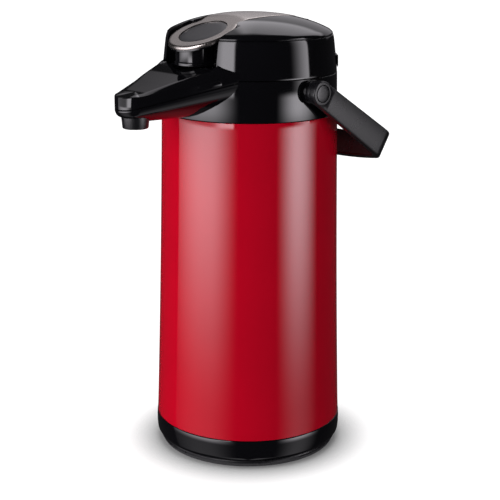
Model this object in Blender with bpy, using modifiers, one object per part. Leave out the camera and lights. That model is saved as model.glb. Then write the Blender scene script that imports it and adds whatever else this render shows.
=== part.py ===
"""Thermal coffee airpot: a vacuum flask in a red steel shell, with a pump lid, a spout and a carrying bail.

Metres, +Z up. The origin is the centre of the foot on the table, and the spout points along -Y.
Lengths in the tables below are written in millimetres and turned into metres by mm().
"""

import math

import bmesh
import bpy
from mathutils import Matrix, Vector


def mm(*values):
    """Millimetres to metres, for one number or several."""
    metres = tuple(value / 1000 for value in values)
    return metres if len(metres) > 1 else metres[0]


# Driving dimensions
SEGMENTS = 40
GAP = mm(0.3)
PAD_TOP = mm(3.0)
FOOT_TOP = mm(6.0)
BASE_BOTTOM = mm(6.3)
SHELL_BOTTOM = mm(25.5)
SHELL_TOP = mm(298.4)
SHELL_TOP_RADIUS = mm(75.4)
SHELL_WALL = mm(0.9)
COLLAR_BOTTOM = mm(298.7)
COLLAR_TOP = mm(332.2)
COLLAR_RADIUS = mm(75.2)
COLLAR_TOP_RADIUS = mm(74.5)
LID_BOTTOM = mm(332.7)
DOME_TOP = mm(380.5)
DOME_EDGE_RADIUS = mm(70.5)
LID_WALL = mm(2.2)
LID_SCREW_RING = mm(57.0)
LID_SCREWS = (("1", 20), ("2", 160), ("3", 90))

FLASK_RADIUS = mm(66.0)
FLASK_WALL = mm(1.5)
FLASK_VACUUM = mm(2.5)
FLASK_NECK_RADIUS = mm(36.0)
FLASK_TOP = mm(296.0)
MOUTH_RADIUS = mm(30.0)
MOUTH_TOP = mm(311.9)

TUBE_RADIUS = mm(3.4)
TUBE_WALL = mm(0.9)
RISER_Y = mm(-22.0)

SPOUT_ROOT = (mm(48.0), mm(-57.4))
SPOUT_TIP_Y = mm(-124.0)
SPOUT_TIP_RADIUS = mm(16.3)
SPOUT_WALL = mm(2.0)
SEAM_ROOT_Z = mm(330.8)
SEAM_SLOPE = 0.222
SIDE_TOP_ROOT_Z = mm(338.0)
SIDE_TOP_SLOPE = 0.198
TOP_SLOPE = 0.285
TOP_Z_AT_MIDDLE = mm(336.8)
TOP_MIDDLE = (mm(26.5), mm(-88.0))
LOCK_BACK = mm(26.9)
LOCK_DROP = mm(4.4)

HANDLE_Z = mm(321.4)
HANDLE_DROP = math.radians(33.2)
HANDLE_INNER_X = mm(80.4)
HANDLE_OUTER_X = mm(87.4)
HUB_RADIUS = mm(10.3)
HANDLE_REACH = mm(110.5)
HANDLE_WIDTH = mm(19.8, 23.5)

LID_HINGE = (mm(79.5), mm(333.5))
LEVER_HINGE = (mm(46.0), mm(366.0))
DISC_CENTRE = (mm(-52.6), mm(368.0))
DISC_TILT = math.radians(20.3)
DISC_RADIUS = mm(29.5)
TAIL_CENTRE_Y = mm(-8.0)
TAIL_HALF_WIDTH = mm(26.0)
TAIL_HALF_LENGTH = mm(58.0)
BADGE_RADIUS = mm(20.5)
TRIM_THICKNESS = mm(1.6)
ARM_THICKNESS = mm(3.2)
SKIRT_Y = mm(-60.2)
SKIRT_RADIUS = mm(16.9)
SKIRT_RIM_RADIUS = mm(17.8)
SKIRT_RIM_TOP = mm(344.3)
SKIRT_BOTTOM = mm(341.5)
NOTCH_HALF_WIDTH = mm(31.6)
NOTCH_BACK_Y = mm(-39.6)
NOTCH_FLOOR = mm(340.5)


def clear_scene():
    for obj in list(bpy.data.objects):
        bpy.data.objects.remove(obj, do_unlink=True)


def collection(name):
    made = bpy.data.collections.new(name)
    bpy.context.scene.collection.children.link(made)
    return made


def material(name, colour, roughness, metallic=0.0):
    made = bpy.data.materials.new(name)
    made.use_nodes = True
    shader = made.node_tree.nodes["Principled BSDF"]
    shader.inputs["Base Color"].default_value = (*colour, 1.0)
    shader.inputs["Roughness"].default_value = roughness
    shader.inputs["Metallic"].default_value = metallic
    return made


clear_scene()
PARTS = collection("airpot")
CUTTERS = collection("cutters")

RED = material("red_lacquer", (0.38, 0.0, 0.02), 0.15, 0.3)
GLOSS_BLACK = material("gloss_black_plastic", (0.01, 0.01, 0.012), 0.12)
SATIN_BLACK = material("satin_black_plastic", (0.025, 0.025, 0.028), 0.4)
CHAMPAGNE = material("champagne_metal", (0.55, 0.5, 0.44), 0.3, 1.0)
BADGE_GREY = material("badge_grey", (0.06, 0.06, 0.065), 0.25)
STEEL = material("steel", (0.6, 0.6, 0.6), 0.3, 1.0)
GLASS = material("silvered_glass", (0.75, 0.77, 0.78), 0.05, 0.9)
RUBBER = material("rubber", (0.03, 0.03, 0.03), 0.8)
CLEAR_PLASTIC = material("natural_plastic", (0.75, 0.75, 0.72), 0.4)


def placed(name, mesh, kind):
    """An object of this mesh: a part if kind is a material, or a hidden helper if it is None."""
    obj = bpy.data.objects.new(name, mesh)
    if kind is None:
        CUTTERS.objects.link(obj)
        obj.hide_render = True
        obj.display_type = "WIRE"
    else:
        PARTS.objects.link(obj)
        mesh.materials.append(kind)
    return obj


def from_bmesh(name, bm, kind):
    bmesh.ops.recalc_face_normals(bm, faces=bm.faces)
    mesh = bpy.data.meshes.new(name)
    bm.to_mesh(mesh)
    bm.free()
    if kind is not None:
        mesh.shade_smooth()
        mesh.set_sharp_from_angle(angle=math.radians(35))
    return placed(name, mesh, kind)


def clockwise(profile):
    """The profile, turned so that it runs down its outer side."""
    following = profile[1:] + profile[:1]
    area = sum(a[0] * b[1] - b[0] * a[1] for a, b in zip(profile, following))
    return profile if area < 0 else profile[::-1]


def turned(name, profile, kind, segments=SEGMENTS, centre=(0.0, 0.0)):
    """A solid of revolution. The profile is (radius, z), and is left open where it meets the axis."""
    points = clockwise(list(profile))
    on_axis = [index for index, point in enumerate(points) if point[0] < 1e-7]
    if on_axis:
        # The profile starts at one axis point and ends at the other.
        while not (points[0][0] < 1e-7 and points[-1][0] < 1e-7):
            points = points[1:] + points[:1]
    mesh = bpy.data.meshes.new(name)
    edges = [(i, i + 1) for i in range(len(points) - 1)]
    if not on_axis:
        edges.append((len(points) - 1, 0))
    mesh.from_pydata([(radius, 0.0, z) for radius, z in points], edges, [])
    obj = placed(name, mesh, kind)
    obj.location = (centre[0], centre[1], 0.0)
    screw = obj.modifiers.new("turn", "SCREW")
    screw.axis = "Z"
    screw.steps = segments
    screw.render_steps = segments
    screw.use_merge_vertices = True
    screw.merge_threshold = 1e-6
    screw.use_smooth_shade = True
    return obj


def rod(name, start, end, radius, kind, end_radius=None, segments=24):
    """A cylinder or cone between two points."""
    start = Vector(start)
    direction = Vector(end) - start
    bm = bmesh.new()
    turn = direction.to_track_quat("Z", "Y").to_matrix().to_4x4()
    bmesh.ops.create_cone(
        bm,
        cap_ends=True,
        segments=segments,
        radius1=radius,
        radius2=radius if end_radius is None else end_radius,
        depth=direction.length,
        matrix=Matrix.Translation(start + direction / 2) @ turn,
    )
    return from_bmesh(name, bm, kind)


def block(name, low, high, kind):
    """A box between two corners."""
    low, high = Vector(low), Vector(high)
    bm = bmesh.new()
    size = Matrix.Diagonal((*(high - low), 1.0))
    bmesh.ops.create_cube(bm, size=1.0, matrix=Matrix.Translation((low + high) / 2) @ size)
    return from_bmesh(name, bm, kind)


def combine(obj, other, operation):
    boolean = obj.modifiers.new(operation.lower(), "BOOLEAN")
    boolean.operation = operation
    boolean.solver = "EXACT"
    boolean.object = other
    return obj


def cut(obj, *others):
    for other in others:
        combine(obj, other, "DIFFERENCE")
    return obj


def join(obj, *others):
    for other in others:
        combine(obj, other, "UNION")
    return obj


def arc(centre, radius, start, end, steps):
    """Points of an arc in a plane, its angles in degrees."""
    angles = [math.radians(start + (end - start) * i / steps) for i in range(steps + 1)]
    return [(centre[0] + radius * math.cos(a), centre[1] + radius * math.sin(a)) for a in angles]


def rounded_path(corners, radius, steps=3):
    """A polyline whose inner corners are rounded by short parabolas."""
    corners = [Vector(corner) for corner in corners]
    points = [corners[0]]
    for before, corner, after in zip(corners, corners[1:], corners[2:]):
        into = (corner - before).normalized()
        out = (after - corner).normalized()
        back = radius * math.tan(into.angle(out) / 2)
        start, end = corner - into * back, corner + out * back
        for step in range(steps + 1):
            t = step / steps
            points.append(start * (1 - t) ** 2 + corner * 2 * t * (1 - t) + end * t**2)
    points.append(corners[-1])
    return points


def tube(name, points, radius, wall, kind, resolution=2):
    """A hollow tube with open ends, along a polyline."""
    curve = bpy.data.curves.new(name, "CURVE")
    curve.dimensions = "3D"
    spline = curve.splines.new("POLY")
    spline.points.add(len(points) - 1)
    for point, place in zip(spline.points, points):
        point.co = (*place, 1.0)
    curve.bevel_depth = radius
    curve.bevel_resolution = resolution
    obj = bpy.data.objects.new(name, curve)
    PARTS.objects.link(obj)
    curve.materials.append(kind)
    if wall:
        shell = obj.modifiers.new("wall", "SOLIDIFY")
        shell.thickness = wall
        shell.offset = -1.0
    else:
        curve.use_fill_caps = True
    return obj


# Shapes that several pieces share


def shell_radius(z):
    """The outer radius of the red shell, which flares towards its foot."""
    down = (mm(298.7) - z) * 1000
    return SHELL_TOP_RADIUS + mm(0.01472 * down + 3.54e-5 * down**2)


def lid_radius(z):
    """The outer radius of the lid's wall, which leans in towards the dome."""
    up = (z - LID_BOTTOM) * 1000
    return mm(74.3 - 0.09 * up - 0.00072 * up**2)


def dome_z(radius):
    """Height of the lid's dome over a radius."""
    r = radius * 1000
    return DOME_TOP - mm(0.002008 * r**2 + 1.93e-7 * r**4)


def lever_z(x, y):
    """Height of the lever's top: the tilted disc in front, and the dome behind it."""
    disc = DISC_CENTRE[1] + math.tan(DISC_TILT) * (y - DISC_CENTRE[0])
    return min(disc, dome_z(math.hypot(x, y))) + mm(0.4)


def oval_half_width(y, centre, half_width, half_length):
    share = (y - centre) / half_length
    return half_width * math.sqrt(1 - share**2) if abs(share) < 1 else 0.0


def lever_outline(inset, disc_steps=11, tail_steps=12):
    """The lever's plan as rows of (y, half width): a tilted disc that runs into a long oval tail."""
    disc = (DISC_CENTRE[0], DISC_RADIUS - inset, (DISC_RADIUS - inset) * math.cos(DISC_TILT))
    tail = (TAIL_CENTRE_Y, TAIL_HALF_WIDTH - inset, TAIL_HALF_LENGTH - inset)
    corner = disc[0]
    while oval_half_width(corner, *disc) > oval_half_width(corner, *tail):
        corner += mm(0.05)
    rows = []
    last = math.acos((disc[0] - corner) / disc[2])
    for i in range(disc_steps):
        y = disc[0] - disc[2] * math.cos(last * i / disc_steps)
        rows.append((y, max(oval_half_width(y, *disc), mm(1.0))))
    first = math.acos((tail[0] - corner) / tail[2])
    for i in range(tail_steps + 1):
        y = tail[0] - tail[2] * math.cos(first + (math.pi - first) * i / tail_steps)
        rows.append((y, max(oval_half_width(y, *tail), mm(1.0))))
    return rows


def base_and_foot():
    """Base ring, swivel foot and the screw that holds them together."""
    hub = mm(12.0)
    turned(
        "base_ring",
        [
            mm(hub * 1000 + 0.4, 9.5),
            mm(78.0, 9.5),
            mm(78.6, 33.0),
            mm(80.6, 33.0),
            mm(80.8, 25.2),
            mm(82.35, 25.2),
            mm(82.6, 14.0),
            mm(82.1, 9.5),
            mm(80.7, 7.2),
            (mm(78.6), BASE_BOTTOM),
            (hub + mm(0.4), BASE_BOTTOM),
        ],
        SATIN_BLACK,
    )
    plate_radius = mm(79.6)
    turned(
        "foot_plate",
        [
            (mm(2.2), PAD_TOP + GAP),
            (plate_radius - mm(0.6), PAD_TOP + GAP),
            (plate_radius, FOOT_TOP - mm(0.8)),
            (plate_radius - mm(0.5), FOOT_TOP),
            (hub, FOOT_TOP),
            (hub, mm(9.6)),
            (mm(2.2), mm(9.6)),
        ],
        SATIN_BLACK,
    )
    turned("foot_pad", [(0, 0), mm(77.3, 0), (mm(78.2), PAD_TOP), (0, PAD_TOP)], RUBBER)
    turned("swivel_retainer", [mm(2.2, 9.9), mm(18.0, 9.9), mm(18.0, 12.0), mm(2.2, 12.0)], STEEL, 24)
    turned(
        "swivel_screw",
        [(0, mm(3.5)), mm(1.9, 3.5), mm(1.9, 12.3), mm(5.0, 12.3), mm(4.2, 14.6), (0, mm(14.6))],
        STEEL,
        16,
    )


def outer_shell():
    bands = 4
    heights = [SHELL_TOP - (SHELL_TOP - SHELL_BOTTOM) * i / bands for i in range(bands + 1)]
    outside = [(shell_radius(z), z) for z in heights]
    inside = [(radius - SHELL_WALL, z) for radius, z in reversed(outside)]
    turned("outer_shell", outside + inside, RED)


def flask_bottom(offset, steps=4):
    """The flask's rounded bottom, from its side to its middle, moved in by an offset."""
    side_z = mm(52.0)
    depth = mm(26.0) - offset
    radius = FLASK_RADIUS - offset
    points = []
    for i in range(steps + 1):
        angle = math.pi / 2 * i / steps
        points.append((radius * math.cos(angle), side_z - depth * math.sin(angle)))
    return points


def flask_shoulder(offset):
    """Neck and shoulder of one skin of the flask, from the top down."""
    neck = FLASK_NECK_RADIUS - offset
    side = FLASK_RADIUS - offset
    low = mm(252.0) - offset * 0.4
    shoulder = [(neck, low + mm(30.0))]
    steps = 4
    for i in range(1, steps + 1):
        angle = math.pi / 2 * i / steps
        shoulder.append((neck + (side - neck) * math.sin(angle), low + mm(30.0) * math.cos(angle)))
    return shoulder


def flask():
    """Double-walled flask, drawn from the axis of its inner wall round to the hole in its outer wall."""
    hole = mm(3.0)
    inner_skin = FLASK_WALL + FLASK_VACUUM
    outside = [(FLASK_NECK_RADIUS, FLASK_TOP)] + flask_shoulder(0) + flask_bottom(0)
    outside[-1] = (hole, outside[-1][1])
    gap_outer = flask_shoulder(FLASK_WALL) + flask_bottom(FLASK_WALL)
    gap_outer[-1] = (hole, gap_outer[-1][1])
    gap_top = FLASK_TOP - mm(2.0)
    gap_outer = [(FLASK_NECK_RADIUS - FLASK_WALL, gap_top)] + gap_outer
    gap_inner = [(FLASK_NECK_RADIUS - inner_skin, gap_top)]
    gap_inner += flask_shoulder(inner_skin) + flask_bottom(inner_skin)
    inside_offset = inner_skin + FLASK_WALL
    inside = [(FLASK_NECK_RADIUS - inside_offset, FLASK_TOP)] + flask_shoulder(inside_offset)
    inside += flask_bottom(inside_offset)
    for skin in (gap_inner, inside):
        skin[-1] = (0.0, skin[-1][1])
    turned("flask", inside[::-1] + outside + gap_outer[::-1] + gap_inner, GLASS, 24)
    tip = [(0, mm(22.5)), mm(1.2, 23.0), mm(2.6, 25.5), mm(2.6, 28.0), (0, mm(28.0))]
    turned("flask_tip", tip, GLASS, 12)
    bowl = [point for point in flask_bottom(-mm(0.4)) if mm(20) < point[0] < mm(62)]
    turned("flask_cushion", bowl + [(bowl[-1][0], mm(9.9)), (bowl[0][0], mm(9.9))], RUBBER, 24)


def mouth():
    """Seal, ring and funnel round the flask's neck."""
    outer = mm(40.0)
    tube_z = mm(306.2)
    turned(
        "neck_gasket",
        [(mm(31.0), FLASK_TOP + GAP), (mm(36.5), FLASK_TOP + GAP), mm(36.5, 298.3), mm(31.0, 298.3)],
        RUBBER,
        32,
    )
    ring = turned(
        "mouth_ring",
        [(MOUTH_RADIUS, MOUTH_TOP), (outer, MOUTH_TOP), (outer, mm(298.6)), (MOUTH_RADIUS, mm(298.6))],
        SATIN_BLACK,
        32,
    )
    cut(ring, rod("mouth_tube_hole", (0, RISER_Y, tube_z), (0, mm(-50), tube_z), TUBE_RADIUS + GAP, None))
    turned(
        "neck_funnel",
        [mm(40.5, 312.0), mm(71.3, 329.8), mm(71.3, 327.6), mm(40.5, 310.0)],
        SATIN_BLACK,
        32,
    )
    return tube_z


def tubes(tube_z):
    """Riser inside the flask and delivery tube along the spout."""
    joint_z = mm(292.0)
    tube("riser_tube", [(0, RISER_Y, mm(44)), (0, RISER_Y, joint_z)], TUBE_RADIUS, TUBE_WALL, CLEAR_PLASTIC)
    route = [
        (0, RISER_Y, joint_z + GAP),
        (0, RISER_Y, tube_z),
        (0, mm(-77), tube_z),
        (0, mm(-98), mm(311.5)),
        (0, SPOUT_TIP_Y, mm(313.5)),
        (0, SPOUT_TIP_Y, mm(305.0)),
    ]
    points = rounded_path(route[:3], mm(6.5))[:-1] + rounded_path(route[2:], mm(5.0))
    tube("delivery_tube", points, TUBE_RADIUS, TUBE_WALL, CLEAR_PLASTIC)
    turned(
        "tube_grommet",
        [mm(3.7, -4.0), mm(6.2, -4.0), mm(6.2, -0.6), mm(4.7, -0.3), mm(4.7, 3.6), mm(3.7, 3.6)],
        RUBBER,
        20,
    )
    grommet = bpy.data.objects["tube_grommet"]
    grommet.location = (0, mm(-71.5), tube_z)
    grommet.rotation_euler = (math.radians(90), 0, 0)


def collar(tube_z):
    """Black collar between shell and lid, with the bosses that carry the bail."""
    ring = turned(
        "collar",
        [
            (mm(72.0), COLLAR_TOP),
            (COLLAR_TOP_RADIUS, COLLAR_TOP),
            (COLLAR_RADIUS, COLLAR_BOTTOM),
            (mm(74.1), COLLAR_BOTTOM),
            mm(74.0, 290.0),
            mm(71.8, 290.0),
        ],
        GLOSS_BLACK,
    )
    for side, name in ((1, "right"), (-1, "left")):
        start, end = (side * mm(73), 0, HANDLE_Z), (side * mm(76.2), 0, HANDLE_Z)
        join(ring, rod(f"boss_{name}", start, end, mm(9.5), None))
    cut(ring, rod("boss_hole", (-mm(90), 0, HANDLE_Z), (mm(90), 0, HANDLE_Z), mm(3.3), None, segments=16))
    cut(ring, rod("collar_tube_hole", (0, mm(-60), tube_z), (0, mm(-90), tube_z), mm(5.0), None))


def plane_through(a, b, c, inwards):
    """A plane as (point, normal), its normal pointing away from the point given."""
    a, b, c = Vector(a), Vector(b), Vector(c)
    normal = (b - a).cross(c - a).normalized()
    if normal.dot(Vector(inwards) - a) > 0:
        normal.negate()
    return a, normal


def spout_outline(root_half_width, tip_y, tip_radius, root_y=SPOUT_ROOT[1], back_y=mm(-45), steps=10):
    """Plan of the spout from +X behind its root: two straight sides that run tangent into a round tip."""
    length = root_y - tip_y
    distance = math.hypot(root_half_width, length)
    lean = math.atan2(root_half_width, length) - math.asin(tip_radius / distance)
    start = -math.degrees(lean)
    tip = arc((0, tip_y), tip_radius, start, -180 - start, steps)
    back = root_half_width + math.tan(lean) * (back_y - root_y)
    return [(back, back_y)] + tip + [(-back, back_y)]


def spout_prism(name, inset, kind):
    """The spout's upper half as a solid: its plan pulled up, then cut by seam, top and side slopes."""
    root_half, root_y = SPOUT_ROOT
    tip_radius = SPOUT_TIP_RADIUS - inset
    outline = spout_outline(root_half - inset * 1.1, SPOUT_TIP_Y, tip_radius)
    bm = bmesh.new()
    extrude_plan(bm, outline, mm(290), mm(370))
    inside = Vector((0, mm(-88), mm(324)))
    tip_edge = (outline[1][0], outline[1][1])
    planes = []
    seam_drop = mm(12) if inset else 0
    seam_point = Vector((0, root_y, SEAM_ROOT_Z - seam_drop))
    planes.append((seam_point, Vector((0, SEAM_SLOPE, -1)).normalized()))
    planes.append((Vector((0, TOP_MIDDLE[1], TOP_Z_AT_MIDDLE)), Vector((0, -TOP_SLOPE, 1)).normalized()))
    tip_drop = SIDE_TOP_SLOPE * (root_y - tip_edge[1])
    for side in (1, -1):
        planes.append(
            plane_through(
                (side * root_half, root_y, SIDE_TOP_ROOT_Z),
                (side * (tip_edge[0] + inset), tip_edge[1], SIDE_TOP_ROOT_Z - tip_drop),
                (side * TOP_MIDDLE[0], TOP_MIDDLE[1], TOP_Z_AT_MIDDLE),
                inside,
            )
        )
    nose_z = SIDE_TOP_ROOT_Z - SIDE_TOP_SLOPE * (root_y - SPOUT_TIP_Y + mm(10))
    for angle in range(-130, -49, 16):
        out = Vector((math.cos(math.radians(angle)), math.sin(math.radians(angle)), 0))
        point = Vector((0, SPOUT_TIP_Y, nose_z)) + out * SPOUT_TIP_RADIUS
        planes.append((point, (out * 0.6 + Vector((0, 0, 0.8))).normalized()))
    for index, (point, normal) in enumerate(planes):
        shift = normal * inset if index else Vector()
        cut_by_plane(bm, point - shift, normal)
    return from_bmesh(name, bm, kind)


def extrude_plan(bm, plan, low, high):
    """Pulls a closed plan up into a prism."""
    face = bm.faces.new([bm.verts.new((x, y, low)) for x, y in plan])
    pulled = bmesh.ops.extrude_face_region(bm, geom=[face])["geom"]
    raised = [v for v in pulled if isinstance(v, bmesh.types.BMVert)]
    bmesh.ops.translate(bm, verts=raised, vec=(0, 0, high - low))


def cut_by_plane(bm, point, normal):
    """Removes what lies on the normal's side of a plane and closes the cut."""
    geometry = bm.verts[:] + bm.edges[:] + bm.faces[:]
    result = bmesh.ops.bisect_plane(
        bm, geom=geometry, plane_co=point, plane_no=normal, clear_outer=True, dist=1e-7
    )
    edges = [e for e in result["geom_cut"] if isinstance(e, bmesh.types.BMEdge)]
    if edges:
        bmesh.ops.contextual_create(bm, geom=edges)


# The lower half, level by level: root half width, root z, tip y, tip radius and tip z, in millimetres.
HULL_LEVELS = (
    (48.0, 330.5, -124.0, 16.3, 314.2),
    (47.4, 326.0, -124.0, 16.1, 311.2),
    (43.4, 319.0, -124.0, 14.6, 308.3),
    (36.5, 313.2, -123.5, 12.6, 306.3),
    (28.0, 307.4, -122.0, 10.6, 304.4),
    (18.5, 302.8, -119.0, 8.2, 302.6),
    (9.0, 300.0, -114.0, 4.2, 301.3),
)


def spout_hull(name, inset, kind):
    """The spout's lower half as a solid: a stack of plan outlines that narrow towards the keel."""
    bm = bmesh.new()
    rings = []
    tilt_from = SPOUT_ROOT[1]
    lift = inset * 1.1
    for index, (half, root_z, tip_y, radius, tip_z) in enumerate(HULL_LEVELS):
        top = index == 0
        half = mm(half) - inset * 1.1
        radius = max(mm(radius) - inset, mm(1.5))
        low, high = mm(tip_z), mm(root_z)
        rise = mm(6) if top and inset else (0 if top else lift * index / (len(HULL_LEVELS) - 1))
        slope = (high - low) / (tilt_from - mm(-130.7))
        outline = spout_outline(half, mm(tip_y), radius)
        rings.append([bm.verts.new((x, y, high + slope * (y - tilt_from) + rise)) for x, y in outline])
    for upper, lower in zip(rings, rings[1:]):
        count = len(upper)
        for i in range(count):
            j = (i + 1) % count
            bm.faces.new((upper[i], upper[j], lower[j], lower[i]))
    bm.faces.new(rings[0])
    bm.faces.new(rings[-1][::-1])
    return from_bmesh(name, bm, kind)


def root_wedge(name, side):
    """The rise of the spout's top beside the lever's skirt, where it meets the lid's wall."""
    root_half, root_y = SPOUT_ROOT
    inner = NOTCH_HALF_WIDTH + mm(0.6)
    back_y = mm(-50)
    corners = [
        (inner, mm(-67.2), mm(347.6)),
        (inner, back_y, mm(350.0)),
        (root_half - mm(0.8), root_y, mm(341.2)),
        (root_half - mm(0.8), back_y, mm(341.2)),
        (inner, mm(-74.0), mm(338.6)),
        (root_half - mm(1.2), root_y - mm(4.0), mm(336.6)),
        (inner, mm(-72.0), mm(337.0)),
        (inner, back_y, mm(337.0)),
        (root_half - mm(1.4), root_y - mm(3.0), mm(334.6)),
        (root_half - mm(0.8), back_y, mm(334.6)),
    ]
    bm = bmesh.new()
    for x, y, z in corners:
        bm.verts.new((side * x, y, z))
    hull = bmesh.ops.convex_hull(bm, input=bm.verts)
    bmesh.ops.delete(bm, geom=hull["geom_interior"] + hull["geom_unused"], context="VERTS")
    return from_bmesh(name, bm, None)


def side_frame(side):
    """Directions along, up and out of the spout's side wall, placed at the middle of the lock's slot."""
    root_half, root_y = SPOUT_ROOT
    tip = spout_outline(root_half, SPOUT_TIP_Y, SPOUT_TIP_RADIUS)[1]
    along = Vector((tip[0] - root_half, tip[1] - root_y, SIDE_TOP_SLOPE * (tip[1] - root_y))).normalized()
    out = Vector((root_y - tip[1], -(root_half - tip[0]), 0)).normalized()
    up = out.cross(along)
    if up.z < 0:
        up.negate()
    middle = Vector((root_half, root_y, SIDE_TOP_ROOT_Z)) + along * LOCK_BACK - Vector((0, 0, LOCK_DROP))
    mirror = Matrix.Diagonal((side, 1, 1, 1))
    frame = Matrix((along, up, out)).transposed().to_4x4()
    return mirror @ (Matrix.Translation(middle) @ frame), mirror.to_3x3() @ along


def side_box(name, side, length, height, depth, kind, shift=0.0):
    """A box on the spout's side wall: its length along the wall, its depth from inside to outside."""
    frame, _ = side_frame(side)
    low = Vector((shift - length / 2, -height / 2, depth[0]))
    high = Vector((shift + length / 2, height / 2, depth[1]))
    bm = bmesh.new()
    place = Matrix.Translation((low + high) / 2) @ Matrix.Diagonal((*(high - low), 1))
    bmesh.ops.create_cube(bm, size=1.0, matrix=place)
    bmesh.ops.transform(bm, matrix=frame, verts=bm.verts)
    return from_bmesh(name, bm, kind)


def spout():
    """Upper and lower spout shells, nozzle and the two lid locks."""
    body_gap = turned(
        "spout_body_gap",
        [
            (0, mm(370)),
            (lid_radius(mm(370)) + GAP, mm(370)),
            (lid_radius(mm(347)) + GAP, mm(347)),
            (lid_radius(LID_BOTTOM) + GAP, LID_BOTTOM),
            (COLLAR_TOP_RADIUS + GAP, COLLAR_TOP),
            (COLLAR_RADIUS + GAP, COLLAR_BOTTOM),
            (COLLAR_RADIUS + GAP, mm(280)),
            (0, mm(280)),
        ],
        None,
        64,
    )
    upper = spout_prism("spout_upper", 0.0, GLOSS_BLACK)
    for side, name in ((1, "right"), (-1, "left")):
        join(upper, root_wedge(f"root_wedge_{name}", side))
    cut(upper, spout_prism("spout_upper_inside", SPOUT_WALL, None), body_gap)
    well = SKIRT_RIM_RADIUS + mm(1.0)
    cut(upper, rod("skirt_well", (0, SKIRT_Y, mm(318)), (0, SKIRT_Y, mm(360)), well, None, segments=32))
    lower = spout_hull("spout_lower", 0.0, GLOSS_BLACK)
    cut(lower, spout_hull("spout_lower_inside", SPOUT_WALL, None), body_gap)
    bottom, top = (0, SPOUT_TIP_Y, mm(290)), (0, SPOUT_TIP_Y, mm(308.8))
    cut(lower, rod("nozzle_hole", bottom, top, mm(11.8), None, segments=32))
    turned(
        "nozzle",
        [
            mm(6.2, 296.5),
            mm(9.9, 296.5),
            mm(10.5, 297.2),
            mm(11.4, 306.5),
            mm(11.4, 308.3),
            mm(5.2, 308.3),
            mm(3.8, 307.0),
            mm(3.8, 303.6),
            mm(6.2, 303.6),
        ],
        SATIN_BLACK,
        24,
        (0.0, SPOUT_TIP_Y),
    )
    slot = mm(26.8), mm(4.6)
    slider = mm(19.6), mm(4.2)
    rear = -mm(3.1)
    for side, name in ((1, "right"), (-1, "left")):
        cut(upper, side_box(f"slider_slot_{name}", side, *slot, mm(-6, 3), None))
        lock = side_box(f"lid_lock_{name}", side, *slider, mm(-3.4, 0.7), GLOSS_BLACK, rear)
        join(lock, side_box(f"lock_flange_{name}", side, mm(20.6), mm(5.2), mm(-3.6, -2.5), None, rear))


def lid():
    """Lid shell with its lever well, the pump's underplate and the rear hinge."""
    wall = [(lid_radius(z), z) for z in (mm(357.5), mm(347.0), LID_BOTTOM)]
    shares = (0, 0.25, 0.45, 0.62, 0.77, 0.9)
    dome = [(DOME_EDGE_RADIUS * share, dome_z(DOME_EDGE_RADIUS * share)) for share in shares]
    edge = [mm(68.8, 366.6), mm(70.4, 364.0)]
    outside = dome + edge + wall
    inside = [(max(radius - LID_WALL, 0), z) for radius, z in reversed(wall)]
    inside += [(radius - LID_WALL, z - LID_WALL * 0.8) for radius, z in reversed(edge)]
    inside += [(radius, z - LID_WALL) for radius, z in reversed(dome[:-1])]
    shell = turned("lid_shell", outside + inside, GLOSS_BLACK)
    for name, angle in LID_SCREWS:
        x, y = screw_place(angle)
        join(shell, rod(f"post_{name}", (x, y, mm(336.6)), (x, y, mm(369.4)), mm(4), None, segments=12))
        cut(shell, rod(f"post_hole_{name}", (x, y, mm(330)), (x, y, mm(350)), mm(1.9), None, segments=8))
    for side, name in ((1, "right"), (-1, "left")):
        near, far = side * mm(16.2), side * mm(19.2)
        low = (min(near, far), LEVER_HINGE[0] - mm(5), mm(361))
        high = (max(near, far), LEVER_HINGE[0] + mm(5), mm(373.5))
        join(shell, block(f"lever_ear_{name}", low, high, None))
    pivot = [(side * mm(25), *LEVER_HINGE) for side in (-1, 1)]
    cut(shell, rod("lever_ear_hole", *pivot, mm(2.1), None, segments=12))
    margin = mm(0.7)
    inside_wall = NOTCH_HALF_WIDTH + mm(1.6)
    box_low = (-inside_wall, mm(-62.5), mm(336.8))
    join(shell, block("notch_box", box_low, (inside_wall, NOTCH_BACK_Y + mm(1.6), mm(358)), None))
    notch_low = (-NOTCH_HALF_WIDTH, mm(-90), NOTCH_FLOOR)
    notch = block("lever_notch", notch_low, (NOTCH_HALF_WIDTH, NOTCH_BACK_Y, mm(390)), None)
    tail_size = TAIL_HALF_WIDTH + margin, TAIL_HALF_LENGTH + margin
    tail = turned_oval("tail_well", TAIL_CENTRE_Y, *tail_size, mm(356), mm(390))
    disc_size = DISC_RADIUS + margin, DISC_RADIUS * math.cos(DISC_TILT) + margin
    disc = turned_oval("disc_well", DISC_CENTRE[0], *disc_size, mm(344), mm(390))
    cut(shell, tail, disc, notch, skirt_slot("lid_skirt_slot", mm(1.0)))
    lid_inside()
    rear_hinge()


def skirt_slot(name, margin):
    """Cutter for the skirt's way down, which leans back a little as the lever turns."""
    radius = SKIRT_RIM_RADIUS + margin
    low, high = mm(325), mm(352)
    slot = rod(f"{name}_front", (0, SKIRT_Y, low), (0, SKIRT_Y, high), radius, None, segments=32)
    back = (0, SKIRT_Y + mm(1.9), low), (0, SKIRT_Y + mm(1.9), high)
    return join(slot, rod(f"{name}_back", *back, radius, None, segments=32))


def screw_place(angle):
    """Where a lid screw stands, for its angle round the lid."""
    angle = math.radians(angle)
    return LID_SCREW_RING * math.cos(angle), LID_SCREW_RING * math.sin(angle)


def turned_oval(name, centre_y, half_width, half_length, low, high):
    """An upright cutter with an oval plan."""
    bm = bmesh.new()
    size = Matrix.Diagonal((half_width, half_length, 1, 1))
    place = Matrix.Translation((0, centre_y, (low + high) / 2))
    bmesh.ops.create_cone(
        bm, cap_ends=True, segments=40, radius1=1, radius2=1, depth=high - low, matrix=place @ size
    )
    return from_bmesh(name, bm, None)


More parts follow.
